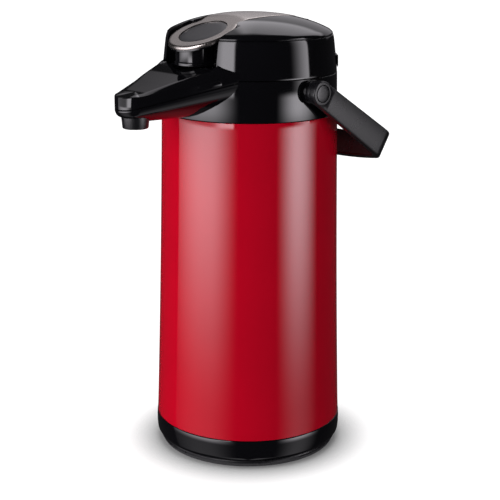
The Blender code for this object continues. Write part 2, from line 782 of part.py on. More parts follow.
def lid_inside():
    plate = turned(
        "lid_underplate",
        [
            mm(2.6, 318.5),
            mm(34.5, 318.5),
            mm(36.0, 336.2),
            mm(70.8, 336.2),
            mm(70.8, 333.2),
            mm(38.6, 333.2),
            mm(37.2, 315.6),
            mm(2.6, 315.6),
        ],
        SATIN_BLACK,
        32,
    )
    cut(plate, skirt_slot("plate_skirt_slot", mm(0.8)))
    turned("lid_gasket", [mm(29.5, 312.2), mm(37.5, 312.2), mm(37.5, 315.3), mm(29.5, 315.3)], RUBBER, 32)
    turned(
        "air_valve",
        [(0, mm(312.8)), mm(9.0, 312.8), mm(8.0, 315.2), mm(2.2, 315.3), mm(2.2, 320.5), (0, mm(320.5))],
        RUBBER,
        16,
    )
    for name, angle in LID_SCREWS:
        x, y = screw_place(angle)
        cut(plate, rod(f"plate_hole_{name}", (x, y, mm(330)), (x, y, mm(340)), mm(2), None, segments=8))
        head = [(0, mm(331.2)), mm(2.6, 331.4), mm(3.2, 332.9)]
        screw = head + [mm(1.5, 332.9), mm(1.5, 346.0), (0, mm(346.0))]
        turned(f"lid_screw_{name}", screw, STEEL, 12, (x, y))
    rod("lever_pin", (-mm(19.2), *LEVER_HINGE), (mm(19.2), *LEVER_HINGE), mm(1.8), STEEL, segments=12)


def rear_hinge():
    """Bracket on the collar, knuckle and cover on the lid, and the pin through them."""
    y, z = LID_HINGE
    barrel = mm(3.6)
    cover = turned(
        "hinge_cover",
        [mm(74.6, 336.0), mm(75.3, 336.4), mm(75.1, 345.0), mm(74.4, 346.0), mm(73.4, 346.0)],
        GLOSS_BLACK,
        64,
    )
    bm = bmesh.new()
    reach = mm(120)
    corners = [(0, 0)]
    for angle in (48, 0, -48):
        corners.append((reach * math.sin(math.radians(angle)), reach * math.cos(math.radians(angle))))
    extrude_plan(bm, corners, mm(330), mm(350))
    combine(cover, from_bmesh("cover_sector", bm, None), "INTERSECT")
    half = mm(11)
    join(cover, block("knuckle_web", (-half, mm(74.9), mm(332.6)), (half, y, mm(338.5)), None))
    join(cover, rod("knuckle", (-half, y, z), (half, y, z), barrel, None, segments=16))
    cut(cover, rod("knuckle_bore", (-mm(15), y, z), (mm(15), y, z), mm(1.65), None, segments=12))
    bracket = block("hinge_bracket", (-mm(24), mm(75.7), mm(318)), (mm(24), mm(77.8), mm(329)), SATIN_BLACK)
    for side, name in ((1, "right"), (-1, "left")):
        near, far = side * mm(11.5), side * mm(24)
        low, high = min(near, far), max(near, far)
        join(bracket, block(f"hinge_lug_{name}", (low, mm(75.7), mm(322)), (high, mm(82.8), z), None))
        join(bracket, rod(f"hinge_eye_{name}", (low, y, z), (high, y, z), barrel, None, segments=16))
        x = side * mm(18)
        turned(f"hinge_screw_{name}", [(0, mm(-1.8)), mm(2.8, -1.8), mm(2.2, 0), (0, 0)], STEEL, 12)
        bpy.data.objects[f"hinge_screw_{name}"].location = (side * mm(6), mm(78.1), mm(323))
        bpy.data.objects[f"hinge_screw_{name}"].rotation_euler = (math.radians(90), 0, 0)
    cut(bracket, rod("hinge_bore", (-mm(30), y, z), (mm(30), y, z), mm(1.65), None, segments=12))
    rod("hinge_pin", (-mm(24.6), y, z), (mm(24.6), y, z), mm(1.4), STEEL, segments=12)


def lever_plate(name, inset, drop, thickness, kind):
    """A plate of the lever's outline under its top surface."""
    columns = 6
    bm = bmesh.new()
    rows = []
    for y, half in lever_outline(inset):
        across = [half * (2 * i / columns - 1) for i in range(columns + 1)]
        rows.append([bm.verts.new((x, y, lever_z(x, y) - drop)) for x in across])
    for row, following in zip(rows, rows[1:]):
        for i in range(columns):
            bm.faces.new((row[i], row[i + 1], following[i + 1], following[i]))
    obj = from_bmesh(name, bm, kind)
    shell = obj.modifiers.new("plate", "SOLIDIFY")
    shell.thickness = thickness
    shell.offset = -1.0
    return obj


def lever():
    """Pump lever: black arm with its skirt, metal trim on top and the badge in the trim."""
    normal = Vector((0, -math.sin(DISC_TILT), math.cos(DISC_TILT)))
    centre = Vector((0, *DISC_CENTRE)) + Vector((0, 0, mm(0.4)))
    trim = lever_plate("lever_trim", 0.0, 0.0, TRIM_THICKNESS, CHAMPAGNE)
    hole_ends = centre - normal * mm(12), centre + normal * mm(12)
    cut(trim, rod("badge_hole", *hole_ends, BADGE_RADIUS + GAP, None, segments=40))
    badge_ends = centre - normal * mm(1.5), centre - normal * mm(0.5)
    rod("lever_badge", *badge_ends, BADGE_RADIUS, BADGE_GREY, segments=40)
    drop = TRIM_THICKNESS + mm(0.4)
    arm = lever_plate("lever_arm", mm(0.8), drop, ARM_THICKNESS, SATIN_BLACK)
    top = centre - normal * (drop + ARM_THICKNESS / 2)
    bm = bmesh.new()
    place = Matrix.Translation((0, SKIRT_Y, SKIRT_BOTTOM + mm(20)))
    bmesh.ops.create_cone(
        bm, cap_ends=True, segments=32, radius1=SKIRT_RADIUS, radius2=SKIRT_RADIUS, depth=mm(40), matrix=place
    )
    cut_by_plane(bm, top, normal)
    rim = (0, SKIRT_Y, SKIRT_BOTTOM), (0, SKIRT_Y, SKIRT_RIM_TOP)
    join(arm, from_bmesh("skirt", bm, None), rod("skirt_rim", *rim, SKIRT_RIM_RADIUS, None, segments=32))
    hollow = (0, SKIRT_Y, mm(330)), (0, SKIRT_Y, mm(349))
    cut(arm, rod("skirt_hollow", *hollow, SKIRT_RADIUS - mm(2), None, segments=32))
    y, z = LEVER_HINGE
    join(arm, block("lever_rib", (-mm(7), y - mm(4), z), (mm(7), y + mm(1.5), mm(373.5)), None))
    join(arm, rod("lever_barrel", (-mm(15.5), y, z), (mm(15.5), y, z), mm(4.4), None, segments=16))
    cut(arm, rod("lever_bore", (-mm(30), y, z), (mm(30), y, z), mm(2.1), None, segments=12))


def pump():
    """Plunger, bellows and return spring between the lever and the lid's underplate."""
    turned(
        "plunger_plate",
        [
            (0, mm(375.0)),
            mm(3.5, 374.6),
            mm(4.0, 373.4),
            mm(4.0, 358.5),
            mm(34.5, 357.8),
            mm(34.5, 355.2),
            (0, mm(355.2)),
        ],
        SATIN_BLACK,
        32,
    )
    folds = 5
    top, length = mm(354.9), mm(36.0)
    heights = [top - length * i / (2 * folds) for i in range(2 * folds + 1)]
    radii = [mm(28.5) if i % 2 else mm(33.0) for i in range(2 * folds + 1)]
    wall = mm(1.5)
    outside = list(zip(radii, heights))
    inside = [(radius - wall, z) for radius, z in reversed(outside)]
    turned("bellows", outside + inside, RUBBER, 24)
    turns, each = 4, 9
    low, high = mm(320.2), mm(354.0)
    coil_radius = mm(14.0)
    points = []
    for i in range(turns * each + 1):
        angle = 2 * math.pi * i / each
        height = low + (high - low) * i / (turns * each)
        points.append((coil_radius * math.cos(angle), coil_radius * math.sin(angle), height))
    tube("bellows_spring", points, mm(0.9), 0, STEEL, 1)


def bail_centreline():
    """Half of the bail in its own plane, from the hub on +X round to the middle of the grip."""
    middle_x = (HANDLE_INNER_X + HANDLE_OUTER_X) / 2
    corner = mm(10.0)
    bow_angle = math.radians(18.9)
    corner_end_x = middle_x - corner + corner * math.sin(bow_angle)
    bow_radius = corner_end_x / math.sin(bow_angle)
    bow_centre = HANDLE_REACH - bow_radius
    corner_y = bow_centre + bow_radius * math.cos(bow_angle) - corner * math.cos(bow_angle)
    straight = [(middle_x, corner_y * i / 3) for i in range(3)]
    turn = arc((middle_x - corner, corner_y), corner, 0, 90 - math.degrees(bow_angle), 5)
    bow = arc((0, bow_centre), bow_radius, 90 - math.degrees(bow_angle), 90, 5)[1:]
    return straight + turn + bow


def bail():
    """Carrying handle: a bent strap on two pivots, its screws, washers and caps."""
    half = bail_centreline()
    line = half + [(-x, y) for x, y in reversed(half[:-1])]
    narrow, wide = HANDLE_WIDTH
    bm = bmesh.new()
    rows = []
    for x, y in line:
        width = narrow + (wide - narrow) * min(y / mm(86), 1)
        rows.append([bm.verts.new((x, y, width * share)) for share in (-0.5, 0.5)])
    for row, following in zip(rows, rows[1:]):
        bm.faces.new((row[0], row[1], following[1], following[0]))
    strap = from_bmesh("bail_handle", bm, SATIN_BLACK)
    strap.location = (0, 0, HANDLE_Z)
    strap.rotation_euler = (-HANDLE_DROP, 0, 0)
    thick = strap.modifiers.new("thickness", "SOLIDIFY")
    thick.thickness = HANDLE_OUTER_X - HANDLE_INNER_X
    thick.offset = 0.0
    for side, name in ((1, "right"), (-1, "left")):

        def across(start, end):
            return (side * start, 0, HANDLE_Z), (side * end, 0, HANDLE_Z)

        hub_ends = across(HANDLE_INNER_X, HANDLE_OUTER_X)
        join(strap, rod(f"hub_{name}", *hub_ends, HUB_RADIUS, None, segments=32))
        cut(strap, rod(f"hub_hole_{name}", *across(mm(70), mm(95)), mm(3.4), None, segments=16))
        cut(strap, rod(f"hub_recess_{name}", *across(mm(85.4), mm(95)), mm(8.0), None, segments=32))
        rod(f"bail_cap_{name}", *across(mm(85.8), mm(87.9)), mm(6.9), SATIN_BLACK, mm(6.5), segments=32)
        rod(f"pivot_stud_{name}", *across(mm(72.4), mm(85.2)), mm(3.0), STEEL, segments=16)
        section = [mm(3.4, 76.5), mm(9.0, 76.5), mm(9.0, 80.0), mm(3.4, 80.0)]
        washer = turned(f"pivot_washer_{name}", section, SATIN_BLACK, 24)
        washer.location = (0, 0, HANDLE_Z)
        washer.rotation_euler = (0, side * math.radians(90), 0)


def main():
    base_and_foot()
    outer_shell()
    flask()
    tube_z = mouth()
    tubes(tube_z)
    collar(tube_z)
    spout()
    lid()
    lever()
    pump()
    bail()


main()
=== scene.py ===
"""Looks of the thermal coffee airpot: fine surfaces, finishes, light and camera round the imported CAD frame.

Shapes are in millimetres and become metres when a mesh is made. The frame is the CAD's: +Z up, the origin at
the middle of the foot, the spout along -Y and the bail's pivots on the X axis.
"""

import math

import bmesh
import bpy
import numpy as np
from mathutils import Matrix, Vector


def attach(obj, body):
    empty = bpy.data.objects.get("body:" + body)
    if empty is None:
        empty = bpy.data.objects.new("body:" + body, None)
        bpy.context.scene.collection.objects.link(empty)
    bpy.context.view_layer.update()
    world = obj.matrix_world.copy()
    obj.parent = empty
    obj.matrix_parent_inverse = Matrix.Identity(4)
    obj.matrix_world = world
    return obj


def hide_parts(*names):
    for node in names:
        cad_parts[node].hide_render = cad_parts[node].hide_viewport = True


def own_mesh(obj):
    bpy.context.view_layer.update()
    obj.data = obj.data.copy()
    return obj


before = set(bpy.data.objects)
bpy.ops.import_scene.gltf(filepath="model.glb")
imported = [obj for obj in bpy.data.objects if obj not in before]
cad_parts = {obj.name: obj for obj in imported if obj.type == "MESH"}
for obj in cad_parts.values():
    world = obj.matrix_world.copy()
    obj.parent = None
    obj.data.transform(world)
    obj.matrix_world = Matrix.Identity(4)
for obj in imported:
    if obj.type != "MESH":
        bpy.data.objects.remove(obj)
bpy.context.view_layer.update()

MM = 0.001
ROUND = 160
SCENE = bpy.context.scene

# Driving dimensions, in millimetres, as in the CAD.
HANDLE_Z = 321.4
HANDLE_DROP = math.radians(33.2)
HANDLE_REACH = 110.5
HANDLE_X = (80.4, 87.4)
HANDLE_WIDTH = (19.8, 23.5)
HUB_RADIUS = 10.3
SPOUT_TIP_Y = -124.0
SPOUT_TIP_RADIUS = 16.3
SPOUT_ROOT = (48.0, -57.4)
# Height at the root, and fall towards the tip, of the spout's upper side edge and of the seam under it.
SIDE_TOP = (338.0, 0.198)
SEAM = (330.8, 0.222)
SPOUT_WALL = 2.0
LOCK_BACK = 26.9
LOCK_DROP = 4.4
TUBE_Z = 306.2
DISC_CENTRE = (-52.6, 368.0)
DISC_TILT = math.radians(20.3)
DISC_RADIUS = 29.5
TAIL_CENTRE_Y = -8.0
TAIL_HALF = (26.0, 58.0)
BADGE_RADIUS = 20.5
SKIRT_Y = -60.2
SKIRT_RADIUS = 16.9
SKIRT_RIM = 17.8
SKIRT_BOTTOM = 341.5
LEVER_HINGE = (46.0, 366.0)
NOTCH_HALF = 31.6
NOTCH_BACK_Y = -39.6
NOTCH_FLOOR = 340.5
COLLAR_BOTTOM = 298.7
LID_BOTTOM = 332.7
LID_WALL = 2.2
SCREW_CIRCLE = 57.0
SCREW_ANGLES = (20, 160, 90)
SLOT_TRAVEL = (0, 1.9)
CLEARANCE = 0.7


# ---------------------------------------------------------------- finishes


def finish(
    name,
    colour,
    roughness,
    metallic=0.0,
    coat=0.0,
    shade=0.12,
    spread=0.04,
    grain=(900.0, 0.02),
    peel=None,
    sheen=0.5,
):
    """A procedural finish: colour and roughness drift over the surface, and a fine grain stands on it.

    grain is (scale, height in mm) of the fine grain, and peel the same for a lacquer's slow waves. sheen is
    how much the surface reflects under its coat.
    """
    made = bpy.data.materials.new(name)
    made.use_nodes = True
    nodes, links = made.node_tree.nodes, made.node_tree.links
    shader = nodes["Principled BSDF"]
    shader.inputs["Metallic"].default_value = metallic
    shader.inputs["Specular IOR Level"].default_value = sheen
    shader.inputs["Coat Weight"].default_value = coat
    shader.inputs["Coat Roughness"].default_value = 0.03
    place = nodes.new("ShaderNodeTexCoord")

    def noise(scale, detail):
        node = nodes.new("ShaderNodeTexNoise")
        node.inputs["Scale"].default_value = scale
        node.inputs["Detail"].default_value = detail
        links.new(place.outputs["Object"], node.inputs["Vector"])
        return node.outputs["Fac"]

    drift = noise(14.0, 4.0)
    ramp = nodes.new("ShaderNodeValToRGB")
    ramp.color_ramp.elements[0].position = 0.3
    ramp.color_ramp.elements[1].position = 0.7
    ramp.color_ramp.elements[0].color = (*[c * (1 - shade) for c in colour], 1)
    ramp.color_ramp.elements[1].color = (*[min(c * (1 + shade), 1) for c in colour], 1)
    links.new(drift, ramp.inputs["Fac"])
    links.new(ramp.outputs["Color"], shader.inputs["Base Color"])

    rough = nodes.new("ShaderNodeMapRange")
    rough.inputs["To Min"].default_value = max(roughness - spread, 0.02)
    rough.inputs["To Max"].default_value = roughness + spread
    links.new(noise(60.0, 6.0), rough.inputs["Value"])
    links.new(rough.outputs["Result"], shader.inputs["Roughness"])

    last = None
    for scale, height in filter(None, (peel, grain)):
        bump = nodes.new("ShaderNodeBump")
        bump.inputs["Strength"].default_value = 1.0
        bump.inputs["Distance"].default_value = height * MM
        links.new(noise(scale, 2.0), bump.inputs["Height"])
        if last is not None:
            links.new(last.outputs["Normal"], bump.inputs["Normal"])
        last = bump
    links.new(last.outputs["Normal"], shader.inputs["Normal"])
    return made


RED = finish(
    "red_lacquer",
    (0.42, 0.0012, 0.012),
    0.4,
    coat=1.0,
    shade=0.04,
    grain=(2400.0, 0.0008),
    peel=(55.0, 0.012),
    sheen=0.0,
)
GLOSS = finish(
    "gloss_black",
    (0.0025, 0.0025, 0.0032),
    0.055,
    shade=0.2,
    spread=0.012,
    grain=(1500.0, 0.0008),
    peel=(45.0, 0.012),
)
SATIN = finish("satin_black", (0.006, 0.006, 0.007), 0.28, shade=0.1, grain=(2600.0, 0.004))
CHAMPAGNE = finish("champagne_metal", (0.50, 0.46, 0.43), 0.27, 1.0, shade=0.03, grain=(3000.0, 0.0008))
BADGE = finish("badge", (0.022, 0.022, 0.024), 0.36, shade=0.12, grain=(2600.0, 0.004))
STEEL = finish("steel", (0.56, 0.56, 0.57), 0.26, 1.0, shade=0.05, grain=(2200.0, 0.006))
SILVERED = finish("flask_glass", (0.78, 0.80, 0.82), 0.07, 0.9, shade=0.03, spread=0.02, grain=(300.0, 0.002))
RUBBER = finish("rubber", (0.022, 0.022, 0.023), 0.7, shade=0.12, grain=(1800.0, 0.02))
NATURAL = finish("natural_plastic", (0.72, 0.72, 0.68), 0.36, shade=0.03, grain=(1500.0, 0.006))


# ---------------------------------------------------------------- mesh helpers


def clean(mesh, angle=32.0):
    """Welds doubled points, turns the faces outwards and shades the mesh smooth with crisp edges."""
    bm = bmesh.new()
    bm.from_mesh(mesh)
    bmesh.ops.remove_doubles(bm, verts=bm.verts, dist=2e-6)
    bmesh.ops.recalc_face_normals(bm, faces=bm.faces)
    bm.to_mesh(mesh)
    bm.free()
    mesh.validate()
    mesh.shade_smooth()
    mesh.set_sharp_from_angle(angle=math.radians(angle))


def piece(name, points, faces, material=None):
    """An object from points in millimetres."""
    mesh = bpy.data.meshes.new(name)
    mesh.from_pydata([tuple(MM * c for c in p) for p in points], [], faces)
    clean(mesh)
    made = bpy.data.objects.new(name, mesh)
    SCENE.collection.objects.link(made)
    if material is not None:
        mesh.materials.append(material)
    return made


def softened(profile, radius, steps=4, closed=True):
    """A profile whose corners are rounded. Nearly straight corners stay as they are."""
    made = []
    count = len(profile)
    for i, point in enumerate(profile):
        if not closed and i in (0, count - 1):
            made.append(point)
            continue
        p = np.array(point, float)
        a, b = np.array(profile[i - 1], float) - p, np.array(profile[(i + 1) % count], float) - p
        la, lb = np.linalg.norm(a), np.linalg.norm(b)
        turn = math.acos(max(-1.0, min(1.0, a @ b / (la * lb))))
        if turn > math.radians(165):
            made.append(point)
            continue
        back = min(radius / math.tan(turn / 2), 0.42 * la, 0.42 * lb)
        start, end = p + a / la * back, p + b / lb * back
        for t in np.linspace(0, 1, steps + 1):
            q = start * (1 - t) ** 2 + p * 2 * t * (1 - t) + end * t**2
            made.append(tuple(q))
    return made


def lathe(name, profile, material=None, radius=0.4, segments=ROUND, place=None):
    """A solid of revolution about Z from a profile of (radius, z), open where it meets the axis."""
    on_axis = [i for i, p in enumerate(profile) if p[0] < 1e-6]
    if on_axis:
        profile = list(profile)
        while not (profile[0][0] < 1e-6 and profile[-1][0] < 1e-6):
            profile = profile[1:] + profile[:1]
    profile = softened(profile, radius, closed=not on_axis)
    points, rings = [], []
    for r, z in profile:
        if r < 1e-6:
            rings.append([len(points)] * segments)
            points.append((0, 0, z))
            continue
        rings.append(list(range(len(points), len(points) + segments)))
        for i in range(segments):
            a = 2 * math.pi * i / segments
            points.append((r * math.cos(a), r * math.sin(a), z))
    pairs = list(zip(rings, rings[1:]))
    if not on_axis:
        pairs.append((rings[-1], rings[0]))
    faces = []
    for upper, lower in pairs:
        for i in range(segments):
            j = (i + 1) % segments
            face = list(dict.fromkeys((upper[i], upper[j], lower[j], lower[i])))
            if len(face) > 2:
                faces.append(face)
    made = piece(name, points, faces, material)
    if place is not None:
        made.data.transform(place)
    return made


def skin(loops, cap_first=False, cap_last=False):
    """Points and faces between closed loops of equal count."""
    points, faces = [], []
    count = len(loops[0])
    for loop in loops:
        points.extend(tuple(p) for p in loop)
    for k in range(len(loops) - 1):
        a, b = k * count, (k + 1) * count
        for i in range(count):
            j = (i + 1) % count
            faces.append((a + i, a + j, b + j, b + i))
    if cap_first:
        faces.append(tuple(range(count)))
    if cap_last:
        last = (len(loops) - 1) * count
        faces.append(tuple(range(last + count - 1, last - 1, -1)))
    return points, faces


def cylinder(name, start, end, radius, segments=96):
    """A plain cutter or filler between two points."""
    start, end = Vector(start), Vector(end)
    turn = (end - start).to_track_quat("Z", "Y").to_matrix().to_4x4()
    length = (end - start).length
    place = Matrix.Translation(start * MM) @ turn
    return lathe(name, [(0, 0), (radius, 0), (radius, length), (0, length)], None, 0.0, segments, place)


def box(name, low, high):
    """A plain cutter or filler between two corners."""
    points = [(x, y, z) for z in (low[2], high[2]) for y in (low[1], high[1]) for x in (low[0], high[0])]
    faces = [(0, 2, 3, 1), (4, 5, 7, 6), (0, 1, 5, 4), (2, 6, 7, 3), (0, 4, 6, 2), (1, 3, 7, 5)]
    return piece(name, points, faces)


def oval(name, centre_y, half_width, half_length, low, high, segments=160):
    """An upright cutter with an oval plan on the Y axis."""
    loops = []
    for z in (low, high):
        angles = [2 * math.pi * i / segments for i in range(segments)]
        loops.append([(half_width * math.cos(a), centre_y + half_length * math.sin(a), z) for a in angles])
    return piece(name, *skin(loops, True, True))


def grid_faces(grid):
    """Faces between rows of point numbers of equal length."""
    faces = []
    for line, following in zip(grid, grid[1:]):
        faces += [(line[c], line[c + 1], following[c + 1], following[c]) for c in range(len(line) - 1)]
    return faces


def shaped(target, cutters, operation):
    """Applies Booleans to the target for good and removes the tools."""
    for tool in cutters:
        modifier = target.modifiers.new("shape", "BOOLEAN")
        modifier.operation = operation
        modifier.solver = "EXACT"
        modifier.object = tool
        bpy.context.view_layer.update()
        graph = bpy.context.evaluated_depsgraph_get()
        mesh = bpy.data.meshes.new_from_object(target.evaluated_get(graph))
        target.modifiers.clear()
        target.data = mesh
        bpy.data.objects.remove(tool, do_unlink=True)
    clean(target.data)
    return target


def carve(target, *cutters):
    return shaped(target, cutters, "DIFFERENCE")


def merge(target, *others):
    return shaped(target, others, "UNION")


def settle(made, body, *nodes):
    """Puts a finished piece on its body in place of CAD nodes."""
    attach(made, body)
    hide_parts(*nodes)
    return made


# ---------------------------------------------------------------- shared shapes


def shell_radius(z):
    """Outer radius of the red shell, which widens below the collar."""
    down = COLLAR_BOTTOM - z
    return 75.4 + 0.01472 * down + 3.54e-5 * down**2


def lid_radius(z):
    """Outer radius of the lid's wall."""
    up = z - LID_BOTTOM
    return 74.3 - 0.09 * up - 0.00072 * up**2


def dome_z(r):
    """Height of the lid's dome."""
    return 380.5 - 0.002008 * r**2 - 1.93e-7 * r**4


def soft_min(a, b, k):
    """The smaller of two numbers, rounded over a width k where they meet."""
    h = max(k - abs(a - b), 0.0) / k
    return min(a, b) - h * h * k / 4


def lever_z(x, y):
    """Height of the lever's top: the tilted disc where it is lower than the tail, which follows the dome."""
    disc = DISC_CENTRE[1] + math.tan(DISC_TILT) * (y - DISC_CENTRE[0])
    return soft_min(disc, dome_z(math.hypot(x, y)), 1.2) + 0.36


def oval_half(y, centre, half_width, half_length):
    """Half width of an oval at a place along its length."""
    share = (y - centre) / half_length
    return half_width * math.sqrt(1 - share**2) if abs(share) < 1 else 0.0


def lever_rows(inset, disc_steps=44, tail_steps=60):
    """Rows of (y, half width) of the lever's plan: a tilted disc that runs into a long oval tail."""
    disc = (DISC_CENTRE[0], DISC_RADIUS - inset, (DISC_RADIUS - inset) * math.cos(DISC_TILT))
    tail = (TAIL_CENTRE_Y, TAIL_HALF[0] - inset, TAIL_HALF[1] - inset)
    corner = disc[0]
    while oval_half(corner, *disc) > oval_half(corner, *tail):
        corner += 0.02
    rows = []
    last = math.acos((disc[0] - corner) / disc[2])
    for i in range(disc_steps):
        y = disc[0] - disc[2] * math.cos(0.035 + (last - 0.035) * i / disc_steps)
        rows.append((y, oval_half(y, *disc)))
    first = math.acos((tail[0] - corner) / tail[2])
    for i in range(tail_steps + 1):
        y = tail[0] - tail[2] * math.cos(first + (math.pi - 0.05 - first) * i / tail_steps)
        rows.append((y, oval_half(y, *tail)))
    return rows


def lever_solid(name, levels, columns, material):
    """A solid in the lever's plan, from levels of (inset, drop) that run from its top to its underside."""
    points, faces, loops = [], [], []
    for inset, drop in levels:
        rows = lever_rows(inset)
        ring = [(-half, y) for y, half in rows] + [(half, y) for y, half in reversed(rows)]
        loops.append(list(range(len(points), len(points) + len(ring))))
        points += [(x, y, lever_z(x, y) - drop) for x, y in ring]
    count = len(loops[0])
    for upper, lower in zip(loops, loops[1:]):
        faces += [(upper[i], upper[(i + 1) % count], lower[(i + 1) % count], lower[i]) for i in range(count)]
    for (inset, drop), loop in ((levels[0], loops[0]), (levels[-1], loops[-1])):
        rows = lever_rows(inset)
        grid = []
        for k, (y, half) in enumerate(rows):
            line = [loop[k]]
            for c in range(1, columns):
                x = half * (2 * c / columns - 1)
                line.append(len(points))
                points.append((x, y, lever_z(x, y) - drop))
            line.append(loop[count - 1 - k])
            grid.append(line)
        faces += grid_faces(grid)
    return piece(name, points, faces, material)


# ---------------------------------------------------------------- base, shell and flask


def base():
    ring = lathe(
        "base_ring_fine",
        [
            (12.4, 9.5),
            (78.0, 9.5),
            (78.6, 33.0),
            (80.6, 33.0),
            (80.8, 25.2),
            (82.35, 25.2),
            (82.65, 20.0),
            (82.6, 14.0),
            (82.1, 9.5),
            (80.7, 7.2),
            (78.6, 6.3),
            (12.4, 6.3),
        ],
        GLOSS,
        0.6,
    )
    settle(ring, "vessel", "base_ring")
    plate = [(2.2, 3.3), (79.0, 3.3), (79.6, 5.2), (79.1, 6.0), (12.0, 6.0), (12.0, 9.6), (2.2, 9.6)]
    settle(lathe("foot_plate_fine", plate, SATIN, 0.3), "swivel_foot", "foot_plate")
    ribs = [(0, 0.4)]
    for r in (20, 34, 48, 62):
        ribs += [(r, 0.4), (r + 0.4, 0.0), (r + 6, 0.0), (r + 6.4, 0.4)]
    pad = ribs + [(74.0, 0.4), (74.4, 0.0), (77.3, 0.0), (78.2, 3.0), (0, 3.0)]
    settle(lathe("foot_pad_fine", pad, RUBBER, 0.2), "swivel_foot", "foot_pad")


def shell():
    top, bottom, wall = 298.4, 25.5, 0.9
    outside = [(shell_radius(z), z) for z in np.linspace(top, bottom, 32)]
    inside = [(r - wall, z) for r, z in reversed(outside)]
    settle(lathe("outer_shell_fine", outside + inside, RED, 0.35, 256), "vessel", "outer_shell")


def flask_side(offset, steps=14):
    """One skin of the flask, moved in by an offset, from its neck down to the middle of its bottom."""
    neck, side = 36.0 - offset, 66.0 - offset
    shoulder, shoulder_z = 30.0, 252.0 - offset * 0.4
    bottom, bottom_z = 26.0 - offset, 52.0
    line = [(neck, shoulder_z + shoulder)]
    for i in range(1, steps + 1):
        a = math.pi / 2 * i / steps
        line.append((neck + (side - neck) * math.sin(a), shoulder_z + shoulder * math.cos(a)))
    for i in range(steps + 1):
        a = math.pi / 2 * i / steps
        line.append((side * math.cos(a), bottom_z - bottom * math.sin(a)))
    return line


def flask():
    outside = [(36.0, 296.0)] + flask_side(0.0)
    gap_outer = [(34.5, 294.0)] + flask_side(1.5)
    gap_inner = [(32.0, 294.0)] + flask_side(4.0)
    inside = [(30.5, 296.0)] + flask_side(5.5)
    for line in (outside, gap_outer):
        line[-1] = (3.0, line[-1][1])
    for line in (gap_inner, inside):
        line[-1] = (0.0, line[-1][1])
    made = lathe("flask_fine", inside[::-1] + outside + gap_outer[::-1] + gap_inner, SILVERED, 0.6, 96)
    settle(made, "vessel", "flask")
    ring = [(30.0, 311.9), (40.0, 311.9), (40.0, 298.6), (30.0, 298.6)]
    ring = lathe("mouth_ring_fine", ring, SATIN, 1.0, 128)
    carve(ring, cylinder("ring_hole", (0, -22, TUBE_Z), (0, -50, TUBE_Z), 3.7, 48))
    settle(ring, "vessel", "mouth_ring")
    funnel = [(40.5, 312.0), (52.0, 317.0), (71.3, 329.8), (71.3, 327.6), (52.0, 315.0), (40.5, 310.0)]
    settle(lathe("neck_funnel_fine", funnel, SATIN, 0.7), "vessel", "neck_funnel")
    gasket = [(31.0, 296.3), (36.5, 296.3), (36.5, 298.3), (31.0, 298.3)]
    settle(lathe("neck_gasket_fine", gasket, RUBBER, 0.8, 96), "vessel", "neck_gasket")


def collar():
    ring = lathe(
        "collar_fine",
        [
            (72.0, 332.2),
            (74.5, 332.2),
            (75.2, COLLAR_BOTTOM),
            (74.1, COLLAR_BOTTOM),
            (74.0, 290.0),
            (71.8, 290.0),
        ],
        GLOSS,
        0.5,
        256,
    )
    bosses = []
    for side in (1, -1):
        place = Matrix.Translation((0, 0, HANDLE_Z * MM)) @ Matrix.Rotation(side * math.pi / 2, 4, "Y")
        boss = [(0, 73.0), (9.6, 73.0), (9.5, 76.2), (0, 76.2)]
        bosses.append(lathe("boss", boss, GLOSS, 0.5, 96, place))
    merge(ring, *bosses)
    hole = cylinder("boss_hole", (-90, 0, HANDLE_Z), (90, 0, HANDLE_Z), 3.3, 48)
    carve(ring, hole, cylinder("tube_hole", (0, -60, TUBE_Z), (0, -90, TUBE_Z), 5.0, 48))
    settle(ring, "vessel", "collar")


# ---------------------------------------------------------------- spout


def side_line():
    """Lean of the spout's straight side and the angle at which it runs into the round tip."""
    half, root_y = SPOUT_ROOT
    length = root_y - SPOUT_TIP_Y
    distance = math.hypot(half, length)
    return math.atan2(half, length) - math.asin(SPOUT_TIP_RADIUS / distance)


LEAN = side_line()
TANGENT = (SPOUT_TIP_RADIUS * math.cos(LEAN), SPOUT_TIP_Y - SPOUT_TIP_RADIUS * math.sin(LEAN))


def inward(x, y):
    """(distance in from the spout's outline, share of the way round the tip: 0 on a side, 1 at the front)."""
    x = abs(x)
    from_root = Vector((x - SPOUT_ROOT[0], y - SPOUT_ROOT[1]))
    normal = Vector((math.cos(LEAN), -math.sin(LEAN)))
    to_tip = Vector((x, y - SPOUT_TIP_Y))
    angle = math.degrees(math.atan2(-to_tip.y, max(to_tip.x, 1e-9)))
    start = math.degrees(LEAN)
    if angle <= start:
        return -from_root.dot(normal), 0.0
    return SPOUT_TIP_RADIUS - to_tip.length, (angle - start) / (90 - start)


def side_top(y):
    """Height of the spout's upper side edge."""
    return SIDE_TOP[0] - SIDE_TOP[1] * (SPOUT_ROOT[1] - y)


def seam_z(y):
    """Height of the seam between the spout's shells."""
    return SEAM[0] - SEAM[1] * (SPOUT_ROOT[1] - y)


# Height of the spout's top facet along its axis, and how steep the bevel beside it is.
FACET_Y = (-145.0, -140.3, -124.0, -104.0, -88.0, -76.0, -69.0, -62.0, -45.0)
FACET_Z = (321.4, 322.4, 325.6, 331.8, 336.8, 339.8, 341.4, 342.6, 344.0)
BEVEL_Y = (-131.0, -118.0, -106.0, -96.0, -85.0, -72.0, -58.0)
BEVEL_SLOPE = (0.2, 0.42, 0.58, 0.78, 0.79, 0.78, 0.75)
# Height of the rim round the spout's nose where it leaves the side, and at its front.
NOSE_RIM = (323.4, 322.3)
